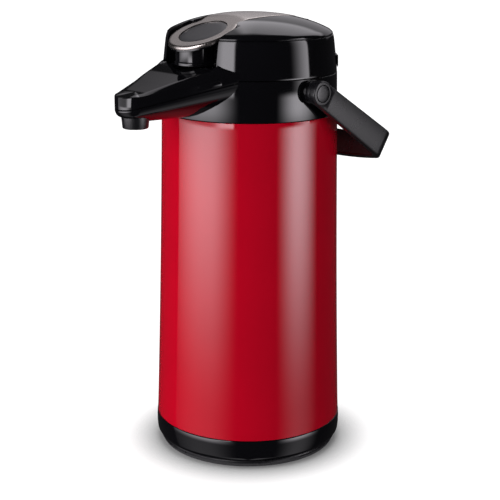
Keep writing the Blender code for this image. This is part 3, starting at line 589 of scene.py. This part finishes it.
# Where the spout's top rises to the lid's wall beside the lever's skirt.
FAIRING_X = (31.6, 33.2, 40.5, 46.5, 48.5)
FAIRING_Z = (344.0, 343.6, 341.2, 339.2, 337.6)
FAIRING_REACH = 7.0
GAP_RADIUS = 74.8
NOSE_BLEND = 0.9
# Points of the spout's plan along a side, round the tip and across the back.
SIDES = 72
ARC = 40
ACROSS = 28
# Distances in from the plan's edge at which the loops of the spout's top lie.
INWARDS = (0.5, 0.85, 1.25, 1.8, 2.5, 3.3, 4.2, 5.2, 6.2, 7.2, 8.3, 9.6, 11.0, 12.6, 14.4, 16.3)
BACK_OUTER = -45.0
BACK_INNER = -47.5


def smooth(share):
    share = min(max(share, 0.0), 1.0)
    return share * share * (3 - 2 * share)


def nose_rim(round_tip):
    """Height of the rim round the spout's nose."""
    return NOSE_RIM[0] + (NOSE_RIM[1] - NOSE_RIM[0]) * smooth(round_tip * 1.5)


def flank_top(y, depth, under):
    """Height of facet or bevel at a distance in from the spout's straight side."""
    slope = np.interp(y, BEVEL_Y, BEVEL_SLOPE)
    bevel = side_top(y) + slope * max(depth, 0.0) - under * math.hypot(1, slope)
    return soft_min(np.interp(y, FACET_Y, FACET_Z) - under * 1.04, bevel, 1.2)


def spout_top(x, y, under=0.0):
    """Height of the spout's top, or of a surface under it by the wall's thickness."""
    depth, round_tip = inward(x, y)
    if round_tip > 0:
        beside = flank_top(SPOUT_TIP_Y - math.sin(LEAN) * (SPOUT_TIP_RADIUS - depth), depth, under)
        rim = nose_rim(round_tip)
        apex = np.interp(SPOUT_TIP_Y, FACET_Y, FACET_Z)
        cone = rim + (apex - rim) * max(depth, 0.0) / SPOUT_TIP_RADIUS - under * 1.04
        height = beside + (cone - beside) * smooth(round_tip / NOSE_BLEND)
    else:
        height = flank_top(y, depth, under)
    near = 1 - (math.hypot(x, y) - GAP_RADIUS) / FAIRING_REACH
    step = min(max((abs(x) - NOTCH_HALF) / 0.8, 0.0), 1.0)
    if near > 0 and step > 0:
        rise = np.interp(abs(x), FAIRING_X, FAIRING_Z) - under * 1.5 - height
        height += max(rise, 0.0) * min(near, 1.3) ** 2 * step
    return height


def plan_loop(inset, back):
    """Closed loop of the spout's plan, moved in by an inset: +X side, tip, -X side and the back edge."""
    half, root_y = SPOUT_ROOT
    radius = SPOUT_TIP_RADIUS - inset
    start = np.array([half + math.tan(LEAN) * (back - root_y) - inset / math.cos(LEAN), back])
    end = np.array([radius * math.cos(LEAN), SPOUT_TIP_Y - radius * math.sin(LEAN)])
    side = [tuple(start + (end - start) * k / SIDES) for k in range(SIDES)]
    loop = list(side)
    for k in range(ARC + 1):
        a = -LEAN - (math.pi - 2 * LEAN) * k / ARC
        loop.append((radius * math.cos(a), SPOUT_TIP_Y + radius * math.sin(a)))
    loop += [(-x, y) for x, y in reversed(side)]
    loop += [(start[0] * (2 * k / ACROSS - 1), back) for k in range(1, ACROSS)]
    return loop


def spout_skin(inset, back, bottom):
    """Loops over the spout's top from its middle out to the rim and down to the seam."""
    share = (SPOUT_TIP_RADIUS - inset) / SPOUT_TIP_RADIUS
    loops = []
    for depth in reversed(INWARDS):
        loop = plan_loop(inset + depth * share, back)
        loops.append([(x, y, spout_top(x, y, inset)) for x, y in loop])
    for edge, drop in ((0.16, 0.12), (0.0, 0.45)):
        loop = plan_loop(inset + edge, back)
        loops.append([(x, y, rim_height(x, y) - drop - inset * 0.4) for x, y in loop])
    for edge, rise in bottom:
        loop = plan_loop(inset + edge, back)
        loops.append([(x, y, seam_z(y) + rise) for x, y in loop])
    return loops


def rim_height(x, y):
    """Height of the edge between the spout's top and its side, beside a point of the rim."""
    _, round_tip = inward(x, y)
    return (nose_rim(round_tip) if round_tip > 0 else side_top(y)) + 0.1


def middle_fill(points, loop):
    """Rows of faces across the innermost loop of a skin. The loop's nose has shrunk to the tip's centre."""
    corner = 2 * SIDES + ARC
    right = loop[: SIDES + 1]
    left = [loop[corner - k] for k in range(SIDES + 1)]
    grid = [[left[0]] + loop[corner + 1 :] + [right[0]]]
    for k in range(1, SIDES + 1):
        a, b = np.array(points[left[k]]), np.array(points[right[k]])
        line = [left[k]]
        for c in range(1, ACROSS):
            line.append(len(points))
            points.append(tuple(a + (b - a) * c / ACROSS))
        grid.append(line + [right[k]])
    return grid_faces(grid)


def spout_upper():
    """Upper shell of the spout as one closed solid: an outer and an inner skin that meet at the seam."""
    outer = spout_skin(0.0, BACK_OUTER, ((0.0, 0.5), (0.3, 0.1)))
    inner = spout_skin(SPOUT_WALL, BACK_INNER, ((0.0, 0.1),))
    loops = outer + inner[::-1]
    points, faces = skin(loops)
    count = len(loops[0])
    faces += middle_fill(points, list(range(count)))
    last = (len(loops) - 1) * count
    faces += middle_fill(points, list(range(last, last + count)))
    return piece("spout_upper_fine", points, faces, GLOSS)


def side_frame(side):
    """Axes along, up and out of the spout's side wall, placed at the middle of the lid lock's slot."""
    half, root_y = SPOUT_ROOT
    along = Vector((TANGENT[0] - half, TANGENT[1] - root_y, SIDE_TOP[1] * (TANGENT[1] - root_y))).normalized()
    out = Vector((math.cos(LEAN), -math.sin(LEAN), 0))
    up = out.cross(along)
    if up.z < 0:
        up.negate()
    middle = Vector((half, root_y, SIDE_TOP[0])) + along * LOCK_BACK - Vector((0, 0, LOCK_DROP))
    mirror = Matrix.Diagonal((side, 1, 1, 1))
    return mirror @ Matrix.Translation(middle * MM) @ Matrix((along, up, out)).transposed().to_4x4()


def stadium(name, side, low, high, half_height, depth, round_front=False):
    """A bar on the spout's side wall with one or two round ends, between two depths."""
    loops = []
    for z, shrink in ((depth[0], 0.0), (depth[1] - 0.35, 0.0), (depth[1] - 0.1, 0.1), (depth[1], 0.35)):
        h = half_height - shrink
        ring = []
        for k in range(13):
            a = math.radians(90 + 180 * k / 12)
            ring.append((low + half_height + h * math.cos(a), h * math.sin(a), z))
        for k in range(13):
            a = math.radians(-90 + 180 * k / 12)
            bend = h * 0.45 if not round_front else h
            ring.append((high - bend - shrink + bend * math.cos(a), h * math.sin(a), z))
        loops.append(ring)
    made = piece(name, *skin(loops, True, True))
    made.data.transform(side_frame(side))
    return made


# Rows of the spout's lower shell: root half width, root z, tip y, tip radius, tip z.
HULL = np.array(
    [
        (48.0, 330.5, -124.0, 16.3, 314.2),
        (47.9, 328.0, -124.0, 16.3, 312.6),
        (47.0, 325.0, -124.0, 15.9, 310.9),
        (45.3, 321.6, -124.0, 15.2, 309.2),
        (42.3, 318.0, -124.0, 14.3, 307.9),
        (38.0, 314.2, -123.6, 13.1, 306.6),
        (32.5, 310.4, -122.8, 11.6, 305.4),
        (26.0, 306.6, -121.6, 10.1, 304.2),
        (18.5, 303.2, -119.5, 8.2, 303.0),
        (10.5, 300.9, -116.0, 5.4, 302.0),
        (4.0, 300.2, -112.0, 2.4, 301.5),
    ]
)
# Where the rows' tip z is measured, and the points of a row along a side and round the tip.
HULL_TIP_Y = -130.7
HULL_SIDES = 24
HULL_ARC = 36


def hull_loop(half, root_z, tip_y, radius, tip_z, back):
    """Closed loop of the lower shell at one level, tilted from root to tip."""
    length = SPOUT_ROOT[1] - tip_y
    lean = math.atan2(half, length) - math.asin(radius / math.hypot(half, length))
    slope = (root_z - tip_z) / (SPOUT_ROOT[1] - HULL_TIP_Y)
    start = np.array([half + math.tan(lean) * (back - SPOUT_ROOT[1]), back])
    end = np.array([radius * math.cos(lean), tip_y - radius * math.sin(lean)])
    side = [tuple(start + (end - start) * k / HULL_SIDES) for k in range(HULL_SIDES)]
    loop = list(side)
    for k in range(HULL_ARC + 1):
        a = -lean - (math.pi - 2 * lean) * k / HULL_ARC
        loop.append((radius * math.cos(a), tip_y + radius * math.sin(a)))
    loop += [(-x, y) for x, y in reversed(side)]
    return [(x, y, root_z + slope * (y - SPOUT_ROOT[1])) for x, y in loop]


def spout_lower():
    """Lower shell of the spout as one closed solid: an outer hull and a smaller one inside it."""
    levels = np.linspace(0, len(HULL) - 1, 31)
    rows = [[np.interp(level, range(len(HULL)), column) for column in HULL.T] for level in levels]
    half, root_z, tip_y, radius, tip_z = rows[0]
    edge, drop = 0.3, 0.4
    outer = [(half - edge, root_z, tip_y, radius - edge, tip_z)]
    outer.append((half, root_z - drop, tip_y, radius, tip_z - drop))
    outer += rows[2:]
    inner = []
    for i, (half, root_z, tip_y, radius, tip_z) in enumerate(rows[:27]):
        lift = SPOUT_WALL * 1.1 * i / 26
        inner.append((half - SPOUT_WALL, root_z + lift, tip_y, max(radius - SPOUT_WALL, 1.0), tip_z + lift))
    loops = [hull_loop(*row, BACK_OUTER) for row in reversed(outer)]
    loops += [hull_loop(*row, BACK_INNER) for row in inner]
    return piece("spout_lower_fine", *skin(loops, True, True), GLOSS)


def body_gap(name):
    """The room that the body takes out of the spout's back."""
    wall = [(71.0, 370), (72.95, 347), (74.6, 332.7), (GAP_RADIUS, 332.2), (75.5, 298.7), (75.5, 280)]
    return lathe(name, [(0, 370)] + wall + [(0, 280)], None, 0.0, 256)


def spout():
    upper, lower = spout_upper(), spout_lower()
    well = cylinder("skirt_well", (0, SKIRT_Y, 318), (0, SKIRT_Y, 362), SKIRT_RIM + 1.0)
    slots = [stadium(f"slot_{side}", side, -13.4, 13.4, 2.3, (-8.0, 3.0)) for side in (1, -1)]
    carve(upper, body_gap("gap_upper"), well, *slots)
    settle(upper, "vessel", "spout_upper")
    hole = cylinder("nozzle_hole", (0, SPOUT_TIP_Y, 290), (0, SPOUT_TIP_Y, 308.8), 11.8)
    carve(lower, body_gap("gap_lower"), hole)
    settle(lower, "vessel", "spout_lower")
    nozzle = [
        (6.2, 296.5),
        (9.9, 296.5),
        (10.5, 297.2),
        (11.4, 306.5),
        (11.4, 308.3),
        (5.2, 308.3),
        (3.8, 307.0),
        (3.8, 303.6),
        (6.2, 303.6),
    ]
    place = Matrix.Translation((0, SPOUT_TIP_Y * MM, 0))
    settle(lathe("nozzle_fine", nozzle, SATIN, 0.6, 96, place), "vessel", "nozzle")
    for side, name in ((1, "right"), (-1, "left")):
        lock = stadium(f"lid_lock_{name}_fine", side, -12.9, 6.7, 2.1, (-3.4, 0.7))
        lock.data.materials.append(GLOSS)
        settle(lock, f"lock_{name}", f"lid_lock_{name}")


# ---------------------------------------------------------------- lid


def screw_places():
    """Where the lid's screws and their posts stand."""
    for angle in map(math.radians, SCREW_ANGLES):
        yield SCREW_CIRCLE * math.cos(angle), SCREW_CIRCLE * math.sin(angle)


def lid():
    dome = [(r, dome_z(r)) for r in np.linspace(0, 67.6, 30)]
    edge = [(69.0, 366.15), (69.9, 365.2), (70.2, 364.35), (69.3, 364.0), (69.3, 363.7), (70.55, 363.35)]
    wall = [(lid_radius(z), z) for z in np.linspace(362.0, LID_BOTTOM, 12)]
    wall[0] = (70.9, 362.0)
    inside = [(r - LID_WALL, z) for r, z in reversed(wall)]
    inside += [(r, dome_z(r) - LID_WALL) for r in np.linspace(66.5, 0, 20)]
    made = lathe("lid_shell_fine", dome + edge + wall + inside, GLOSS, 0.25, 224)
    fillers = [cylinder("post", (x, y, 336.6), (x, y, 370.0), 4.0, 32) for x, y in screw_places()]
    hinge_y = LEVER_HINGE[0]
    for low, high in ((16.2, 19.2), (-19.2, -16.2)):
        fillers.append(box("ear", (low, hinge_y - 5, 361), (high, hinge_y + 5, 373.5)))
    rib = 1.6
    low, high = (-NOTCH_HALF - rib, -62.5, 336.8), (NOTCH_HALF + rib, NOTCH_BACK_Y + rib, 358)
    fillers.append(box("notch_box", low, high))
    merge(made, *fillers)
    above = 395
    cutters = [cylinder("post_hole", (x, y, 330), (x, y, 350), 1.9, 24) for x, y in screw_places()]
    cutters.append(cylinder("ear_hole", (-25, *LEVER_HINGE), (25, *LEVER_HINGE), 2.1, 32))
    half_width, half_length = (half + CLEARANCE for half in TAIL_HALF)
    cutters.append(oval("tail_well", TAIL_CENTRE_Y, half_width, half_length, 356, above))
    reach = DISC_RADIUS * math.cos(DISC_TILT) + CLEARANCE
    cutters.append(oval("disc_well", DISC_CENTRE[0], DISC_RADIUS + CLEARANCE, reach, 344, above))
    cutters.append(box("notch", (-NOTCH_HALF, -90, NOTCH_FLOOR), (NOTCH_HALF, NOTCH_BACK_Y, above)))
    for y in (SKIRT_Y + shift for shift in SLOT_TRAVEL):
        cutters.append(cylinder("skirt_slot", (0, y, 325), (0, y, 352), SKIRT_RIM + 1.0))
    carve(made, *cutters)
    settle(made, "lid", "lid_shell")
    lid_inside()


def lid_inside():
    plate = lathe(
        "lid_underplate_fine",
        [
            (2.6, 318.5),
            (34.5, 318.5),
            (36.0, 336.2),
            (70.8, 336.2),
            (70.8, 333.2),
            (38.6, 333.2),
            (37.2, 315.6),
            (2.6, 315.6),
        ],
        SATIN,
        1.0,
    )
    cutters = []
    for y in (SKIRT_Y + shift for shift in SLOT_TRAVEL):
        cutters.append(cylinder("plate_slot", (0, y, 325), (0, y, 350), SKIRT_RIM + 0.8))
    for x, y in screw_places():
        cutters.append(cylinder("plate_hole", (x, y, 330), (x, y, 340), 2.0, 32))
    carve(plate, *cutters)
    settle(plate, "lid", "lid_underplate")
    gasket = [(29.5, 312.2), (37.5, 312.2), (37.5, 315.3), (29.5, 315.3)]
    settle(lathe("lid_gasket_fine", gasket, RUBBER, 1.2, 128), "lid", "lid_gasket")
    valve = [(0, 312.8), (9.0, 312.8), (8.0, 315.2), (2.2, 315.3), (2.2, 320.5), (0, 320.5)]
    settle(lathe("air_valve_fine", valve, RUBBER, 0.6, 64), "lid", "air_valve")


# ---------------------------------------------------------------- lever and pump


def lever():
    rim, steps = 1.3, 6
    over_rim = [(2.3, 0.0)]
    for k in range(1, steps + 1):
        a = math.pi / 2 * k / steps
        over_rim.append((rim * (1 - math.sin(a)), rim * (1 - math.cos(a))))
    levels = over_rim + [(0.0, 3.0), (0.15, 3.3), (0.45, 3.4), (0.65, 3.2), (0.68, 1.8), (1.2, 1.6)]
    trim = lever_solid("lever_trim_fine", levels, 36, CHAMPAGNE)
    normal = Vector((0, -math.sin(DISC_TILT), math.cos(DISC_TILT)))
    centre = Vector((0, DISC_CENTRE[0], DISC_CENTRE[1] + 0.4))
    carve(trim, cylinder("badge_hole", centre - normal * 12, centre + normal * 12, BADGE_RADIUS + 0.3, 128))
    settle(trim, "lever", "lever_trim")

    tilt = Matrix.Translation(centre * MM) @ Matrix.Rotation(DISC_TILT, 4, "X")
    face = [(0, -0.15), (8.0, -0.2), (14.0, -0.33), (19.2, -0.55), (20.3, -0.85), (20.5, -1.5), (0, -1.5)]
    settle(lathe("lever_badge_fine", face, BADGE, 0.3, 128, tilt), "lever", "lever_badge")

    levels = [(1.6, 2.0), (1.1, 2.1), (0.85, 2.4), (0.8, 3.0), (0.8, 4.6), (1.2, 5.1), (1.9, 5.2)]
    arm = lever_solid("lever_arm_fine", levels, 24, GLOSS)
    skirt = [
        (0, 374.0),
        (SKIRT_RADIUS, 374.0),
        (SKIRT_RADIUS, 345.2),
        (SKIRT_RIM, 344.3),
        (SKIRT_RIM, 342.2),
        (SKIRT_RIM - 0.8, SKIRT_BOTTOM),
        (SKIRT_RADIUS - 2.0, SKIRT_BOTTOM),
        (SKIRT_RADIUS - 2.0, 349.0),
        (0, 349.0),
    ]
    place = Matrix.Translation((0, SKIRT_Y * MM, 0))
    skirt = lathe("skirt", skirt, GLOSS, 0.4, 128, place)
    carve(skirt, cylinder("above_disc", centre - normal * 3.2, centre + normal * 40, 60.0, 64))
    merge(arm, skirt)
    y, z = LEVER_HINGE
    merge(arm, box("rib", (-7, y - 4, z), (7, y + 1.5, 373.0)))
    merge(arm, cylinder("barrel", (-15.5, y, z), (15.5, y, z), 4.4, 48))
    carve(arm, cylinder("bore", (-30, y, z), (30, y, z), 2.1, 32))
    settle(arm, "lever", "lever_arm")


def pump():
    plate = [(0, 375.0), (3.5, 374.6), (4.0, 373.4), (4.0, 358.5), (34.5, 357.8), (34.5, 355.2), (0, 355.2)]
    settle(lathe("plunger_plate_fine", plate, SATIN, 0.5, 96), "plunger", "plunger_plate")
    folds, top, length = 5, 354.9, 36.0
    line = [(28.5 if i % 2 else 33.0, top - length * i / (2 * folds)) for i in range(2 * folds + 1)]
    outline = line + [(r - 1.5, z) for r, z in reversed(line)]
    bellows = lathe("bellows_fine", outline, RUBBER, 1.0, 96)
    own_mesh(bellows)
    settle(bellows, "lid", "bellows")


# ---------------------------------------------------------------- bail


def bail_line(steps=22):
    """Half of the bail in its own plane, from the hub on +X round to the middle of the grip."""
    middle = sum(HANDLE_X) / 2
    corner, bow = 10.0, math.radians(18.9)
    end_x = middle - corner + corner * math.sin(bow)
    bow_radius = end_x / math.sin(bow)
    bow_centre = HANDLE_REACH - bow_radius
    corner_y = bow_centre + bow_radius * math.cos(bow) - corner * math.cos(bow)
    line = [(middle, corner_y * i / steps) for i in range(steps)]
    for i in range(steps + 1):
        a = (math.pi / 2 - bow) * i / steps
        line.append((middle - corner + corner * math.cos(a), corner_y + corner * math.sin(a)))
    for i in range(1, steps + 1):
        a = math.pi / 2 - bow + bow * i / steps
        line.append((bow_radius * math.cos(a), bow_centre + bow_radius * math.sin(a)))
    return line


def bail():
    half = bail_line()
    line = half + [(-x, y) for x, y in reversed(half[:-1])]
    thick = HANDLE_X[1] - HANDLE_X[0]
    narrow, wide = HANDLE_WIDTH
    crown = 0.35
    loops = []
    for i, (x, y) in enumerate(line):
        before, after = Vector(line[max(i - 1, 0)]), Vector(line[min(i + 1, len(line) - 1)])
        run = (after - before).normalized()
        out = Vector((run.y, -run.x))
        width = narrow + (wide - narrow) * min(y / 86.0, 1.0)
        section = [(a * thick / 2, b * width / 2) for a, b in ((1, 1), (1, -1), (-1, -1), (-1, 1))]
        ring = []
        for across, up in softened(section, 1.5, 5):
            across -= crown * (2 * up / width) ** 2 if across > 0 else 0.0
            ring.append((x + out.x * across, y + out.y * across, up))
        loops.append(ring)
    strap = piece("bail_handle_fine", *skin(loops, True, True), SATIN)
    place = Matrix.Translation((0, 0, HANDLE_Z * MM)) @ Matrix.Rotation(-HANDLE_DROP, 4, "X")
    strap.data.transform(place)
    for side, name in ((1, "right"), (-1, "left")):
        turn = Matrix.Translation((0, 0, HANDLE_Z * MM)) @ Matrix.Rotation(side * math.pi / 2, 4, "Y")
        hub = [(0, HANDLE_X[0]), (HUB_RADIUS, HANDLE_X[0]), (HUB_RADIUS, HANDLE_X[1]), (0, HANDLE_X[1])]
        merge(strap, lathe("hub", hub, SATIN, 1.4, 96, turn))
        recess = lathe("recess", [(0, 85.4), (7.5, 85.4), (7.5, 95.0), (0, 95.0)], None, 0.0, 96, turn)
        hole = lathe("hole", [(0, 70), (3.4, 70), (3.4, 95), (0, 95)], None, 0.0, 48, turn)
        carve(strap, recess, hole)
        cap = [(0, 85.8), (6.9, 85.8), (6.75, 87.3), (4.0, 87.5), (0, 87.55)]
        settle(lathe(f"bail_cap_{name}_fine", cap, SATIN, 0.4, 96, turn), "bail", f"bail_cap_{name}")
        washer = [(3.4, 76.5), (9.0, 76.5), (9.0, 80.0), (3.4, 80.0)]
        washer = lathe(f"pivot_washer_{name}_fine", washer, SATIN, 0.6, 96, turn)
        settle(washer, "vessel", f"pivot_washer_{name}")
    settle(strap, "bail", "bail_handle")


# ---------------------------------------------------------------- CAD nodes that stay


KEPT = {
    SATIN: ("hinge_bracket",),
    GLOSS: ("hinge_cover",),
    STEEL: (
        "hinge_pin",
        "hinge_screw_left",
        "hinge_screw_right",
        "pivot_stud_left",
        "pivot_stud_right",
        "lid_screw_1",
        "lid_screw_2",
        "lid_screw_3",
        "lever_pin",
        "swivel_retainer",
        "swivel_screw",
        "bellows_spring",
    ),
    SILVERED: ("flask_tip",),
    RUBBER: ("flask_cushion", "tube_grommet"),
    NATURAL: ("riser_tube", "delivery_tube"),
}


def kept_nodes():
    for material, names in KEPT.items():
        for name in names:
            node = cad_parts[name]
            node.data.materials.clear()
            node.data.materials.append(material)
            bevel = node.modifiers.new("soft_edges", "BEVEL")
            bevel.width = 0.25 * MM
            bevel.segments = 2
            bevel.limit_method = "ANGLE"
            bevel.angle_limit = math.radians(50)
    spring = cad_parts["bellows_spring"]
    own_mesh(spring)


# ---------------------------------------------------------------- studio


AZIMUTH = math.radians(47.0)
# How far the camera looks down, and its roll, in radians.
CAMERA_DOWN = 0.2704
CAMERA_ROLL = 0.0054


def around(angle, distance, height):
    """A place at an angle to the right of the camera's direction, as seen from the object."""
    a = AZIMUTH + math.radians(angle)
    return Vector((math.sin(a) * distance, -math.cos(a) * distance, height))


# Tall soft lights beside the object. Each fades in between its first two angles and out between its last
# two, in degrees to the right of the camera's azimuth, and has a radiance. LOW_TO_HIGH is where the low ones
# give way to the high ones, in degrees above the horizon.
LOW_LIGHTS = ((-118.0, -60.0, -52.0, -12.0, 5.3), (34.0, 64.0, 66.0, 100.0, 6.6))
HIGH_LIGHTS = (
    (-104.0, -102.0, -50.0, -44.0, 1.1),
    (-52.0, -34.0, -22.0, -18.0, 6.6),
    (54.0, 84.0, 82.0, 85.0, 4.6),
)
LOW_TO_HIGH = (-5.5, -2.5)
LEFT_EDGE = (-104.0, -102.0)
# Heights in degrees over which the lights fade in from their share on the ground, and fade out overhead.
FADE_LOW = (-20.0, -9.0)
FADE_HIGH = (20.0, 40.0)
GROUND_SHARE = 0.1
# Panels behind the object: right and left edge in degrees from straight behind, low and high edge, softness
# and radiance.
BACK_PANELS = (
    (-40.0, 2.0, 31.0, 52.0, 6.0, 1.4),
    (6.0, 20.0, 33.0, 52.0, 9.0, 0.6),
    (-48.0, 4.0, 8.0, 26.0, 6.0, 0.45),
)
AMBIENT = 0.02


def light_sky():
    """A studio drawn on the sky: tall side lights, panels behind and a dim rest. The camera sees white."""
    world = bpy.data.worlds.new("studio")
    world.use_nodes = True
    nodes, links = world.node_tree.nodes, world.node_tree.links

    def math_node(operation, a, b=None):
        node = nodes.new("ShaderNodeMath")
        node.operation = operation
        for socket, value in zip(node.inputs, (a, b)):
            if isinstance(value, (int, float)):
                socket.default_value = value
            elif value is not None:
                links.new(value, socket)
        return node.outputs[0]

    def part(direction):
        node = nodes.new("ShaderNodeVectorMath")
        node.operation = "DOT_PRODUCT"
        node.inputs[1].default_value = direction
        links.new(place.outputs["Generated"], node.inputs[0])
        return node.outputs["Value"]

    def stepped(value, start, end):
        node = nodes.new("ShaderNodeMapRange")
        node.interpolation_type = "SMOOTHSTEP"
        node.inputs["From Min"].default_value = start
        node.inputs["From Max"].default_value = end
        links.new(value, node.inputs["Value"])
        return node.outputs["Result"]

    def times(*factors):
        product = factors[0]
        for factor in factors[1:]:
            product = math_node("MULTIPLY", product, factor)
        return product

    def lights(rows):
        total = 0.0
        for start, full, fading, end, level in rows:
            light = times(stepped(around_front, start, full), stepped(around_front, end, fading), level)
            total = math_node("ADD", light, total)
        return total

    place = nodes.new("ShaderNodeTexCoord")
    back = (math.sin(AZIMUTH), -math.cos(AZIMUTH), 0)
    right = (math.cos(AZIMUTH), math.sin(AZIMUTH), 0)
    degrees = 180 / math.pi
    to_front, to_right = part(back), part(right)
    around_front = math_node("MULTIPLY", math_node("ARCTAN2", to_right, to_front), degrees)
    behind = math_node("ARCTAN2", math_node("MULTIPLY", to_right, -1), math_node("MULTIPLY", to_front, -1))
    around_back = math_node("MULTIPLY", behind, degrees)
    height = math_node("MULTIPLY", math_node("ARCSINE", part((0, 0, 1))), degrees)

    low, high = lights(LOW_LIGHTS), lights(HIGH_LIGHTS)
    share = stepped(height, *LOW_TO_HIGH)
    sides = math_node("ADD", low, times(math_node("SUBTRACT", high, low), share))
    above_ground = math_node("ADD", times(stepped(height, *FADE_LOW), 1 - GROUND_SHARE), GROUND_SHARE)
    light = times(sides, stepped(around_front, *LEFT_EDGE), above_ground, stepped(height, *FADE_HIGH[::-1]))
    for first, last, bottom, top, soft, level in BACK_PANELS:
        across = times(stepped(around_back, first - soft, first), stepped(around_back, last + soft, last))
        upwards = times(stepped(height, bottom - soft, bottom), stepped(height, top + soft, top))
        light = math_node("ADD", light, times(across, upwards, level))
    light = math_node("ADD", light, AMBIENT)
    seen = nodes.new("ShaderNodeLightPath").outputs["Is Camera Ray"]
    strength = math_node("ADD", math_node("MULTIPLY", light, math_node("SUBTRACT", 1, seen)), seen)
    background = nodes["Background"]
    tint = nodes.new("ShaderNodeValToRGB")
    tint.color_ramp.elements[0].color = (0.98, 0.945, 1.0, 1)
    tint.color_ramp.elements[1].color = (1, 1, 1, 1)
    links.new(seen, tint.inputs["Fac"])
    links.new(tint.outputs["Color"], background.inputs["Color"])
    links.new(strength, background.inputs["Strength"])
    SCENE.world = world
    world.cycles.sampling_method = "MANUAL"
    world.cycles.sample_map_resolution = 1024


def paper_with_painted_shadow():
    """White paper that glows evenly white away from the object. Where the object is close, ambient occlusion
    dims the glow into a painted shadow, beside the real shadows that the fill lamps cast on it.
    """
    made = finish("studio_paper_painted_shadow", (0.25, 0.25, 0.25), 0.7, shade=0.01, grain=(400.0, 0.01))
    nodes, links = made.node_tree.nodes, made.node_tree.links
    # Painted shadow: ambient occlusion dims the paper's glow where the object is close.
    near = nodes.new("ShaderNodeAmbientOcclusion")
    near.inputs["Distance"].default_value = 0.04
    near.samples = 8
    glow_with_painted_shadow = nodes.new("ShaderNodeMapRange")
    for name, value in (("From Min", 0.45), ("From Max", 1.0), ("To Min", 0.1), ("To Max", 1.0)):
        glow_with_painted_shadow.inputs[name].default_value = value
    links.new(near.outputs["AO"], glow_with_painted_shadow.inputs["Value"])
    shader = nodes["Principled BSDF"]
    shader.inputs["Specular IOR Level"].default_value = 0.0
    shader.inputs["Emission Color"].default_value = (1, 1, 1, 1)
    links.new(glow_with_painted_shadow.outputs["Result"], shader.inputs["Emission Strength"])
    return made


def distant(name, angle, height, energy, width):
    """A wide soft light that only fills: it makes no highlight of its own."""
    light = bpy.data.lights.new(name, "SUN")
    light.energy = energy
    light.angle = math.radians(width)
    lamp = bpy.data.objects.new(name, light)
    lamp.location = around(angle, 1.5 * math.cos(math.radians(height)), 1.5 * math.sin(math.radians(height)))
    lamp.rotation_euler = Vector(lamp.location).to_track_quat("Z", "Y").to_euler()
    lamp.visible_glossy = False
    SCENE.collection.objects.link(lamp)


def studio():
    mesh = bpy.data.meshes.new("floor")
    corners = [(12.0 * x, 12.0 * y, 0) for x, y in ((-1, -1), (1, -1), (1, 1), (-1, 1))]
    mesh.from_pydata(corners, [], [(0, 1, 2, 3)])
    mesh.materials.append(paper_with_painted_shadow())
    floor = bpy.data.objects.new("floor", mesh)
    floor.location.z = -0.0002
    floor.visible_glossy = False
    floor.visible_diffuse = False
    floor.visible_shadow = False
    SCENE.collection.objects.link(floor)
    distant("fill_left", -78.0, 24.0, 1.75, 60.0)
    distant("fill_back", 170.0, 30.0, 1.2, 70.0)
    light_sky()
    SCENE.view_settings.view_transform = "Standard"


def camera():
    data = bpy.data.cameras.new("camera")
    data.sensor_width = 36.0
    data.lens = 92.31
    data.shift_x = 0.00254
    data.shift_y = 0.00046
    made = bpy.data.objects.new("camera", data)
    made.location = around(0.0, 1.095, 0.476)
    turn = Matrix.Rotation(AZIMUTH, 4, "Z")
    pitch = Matrix.Rotation(math.pi / 2 - CAMERA_DOWN, 4, "X")
    made.rotation_euler = (turn @ pitch @ Matrix.Rotation(CAMERA_ROLL, 4, "Z")).to_euler()
    SCENE.collection.objects.link(made)
    SCENE.camera = made


camera()
studio()
base()
shell()
flask()
collar()
spout()
lid()
lever()
pump()
bail()
kept_nodes()
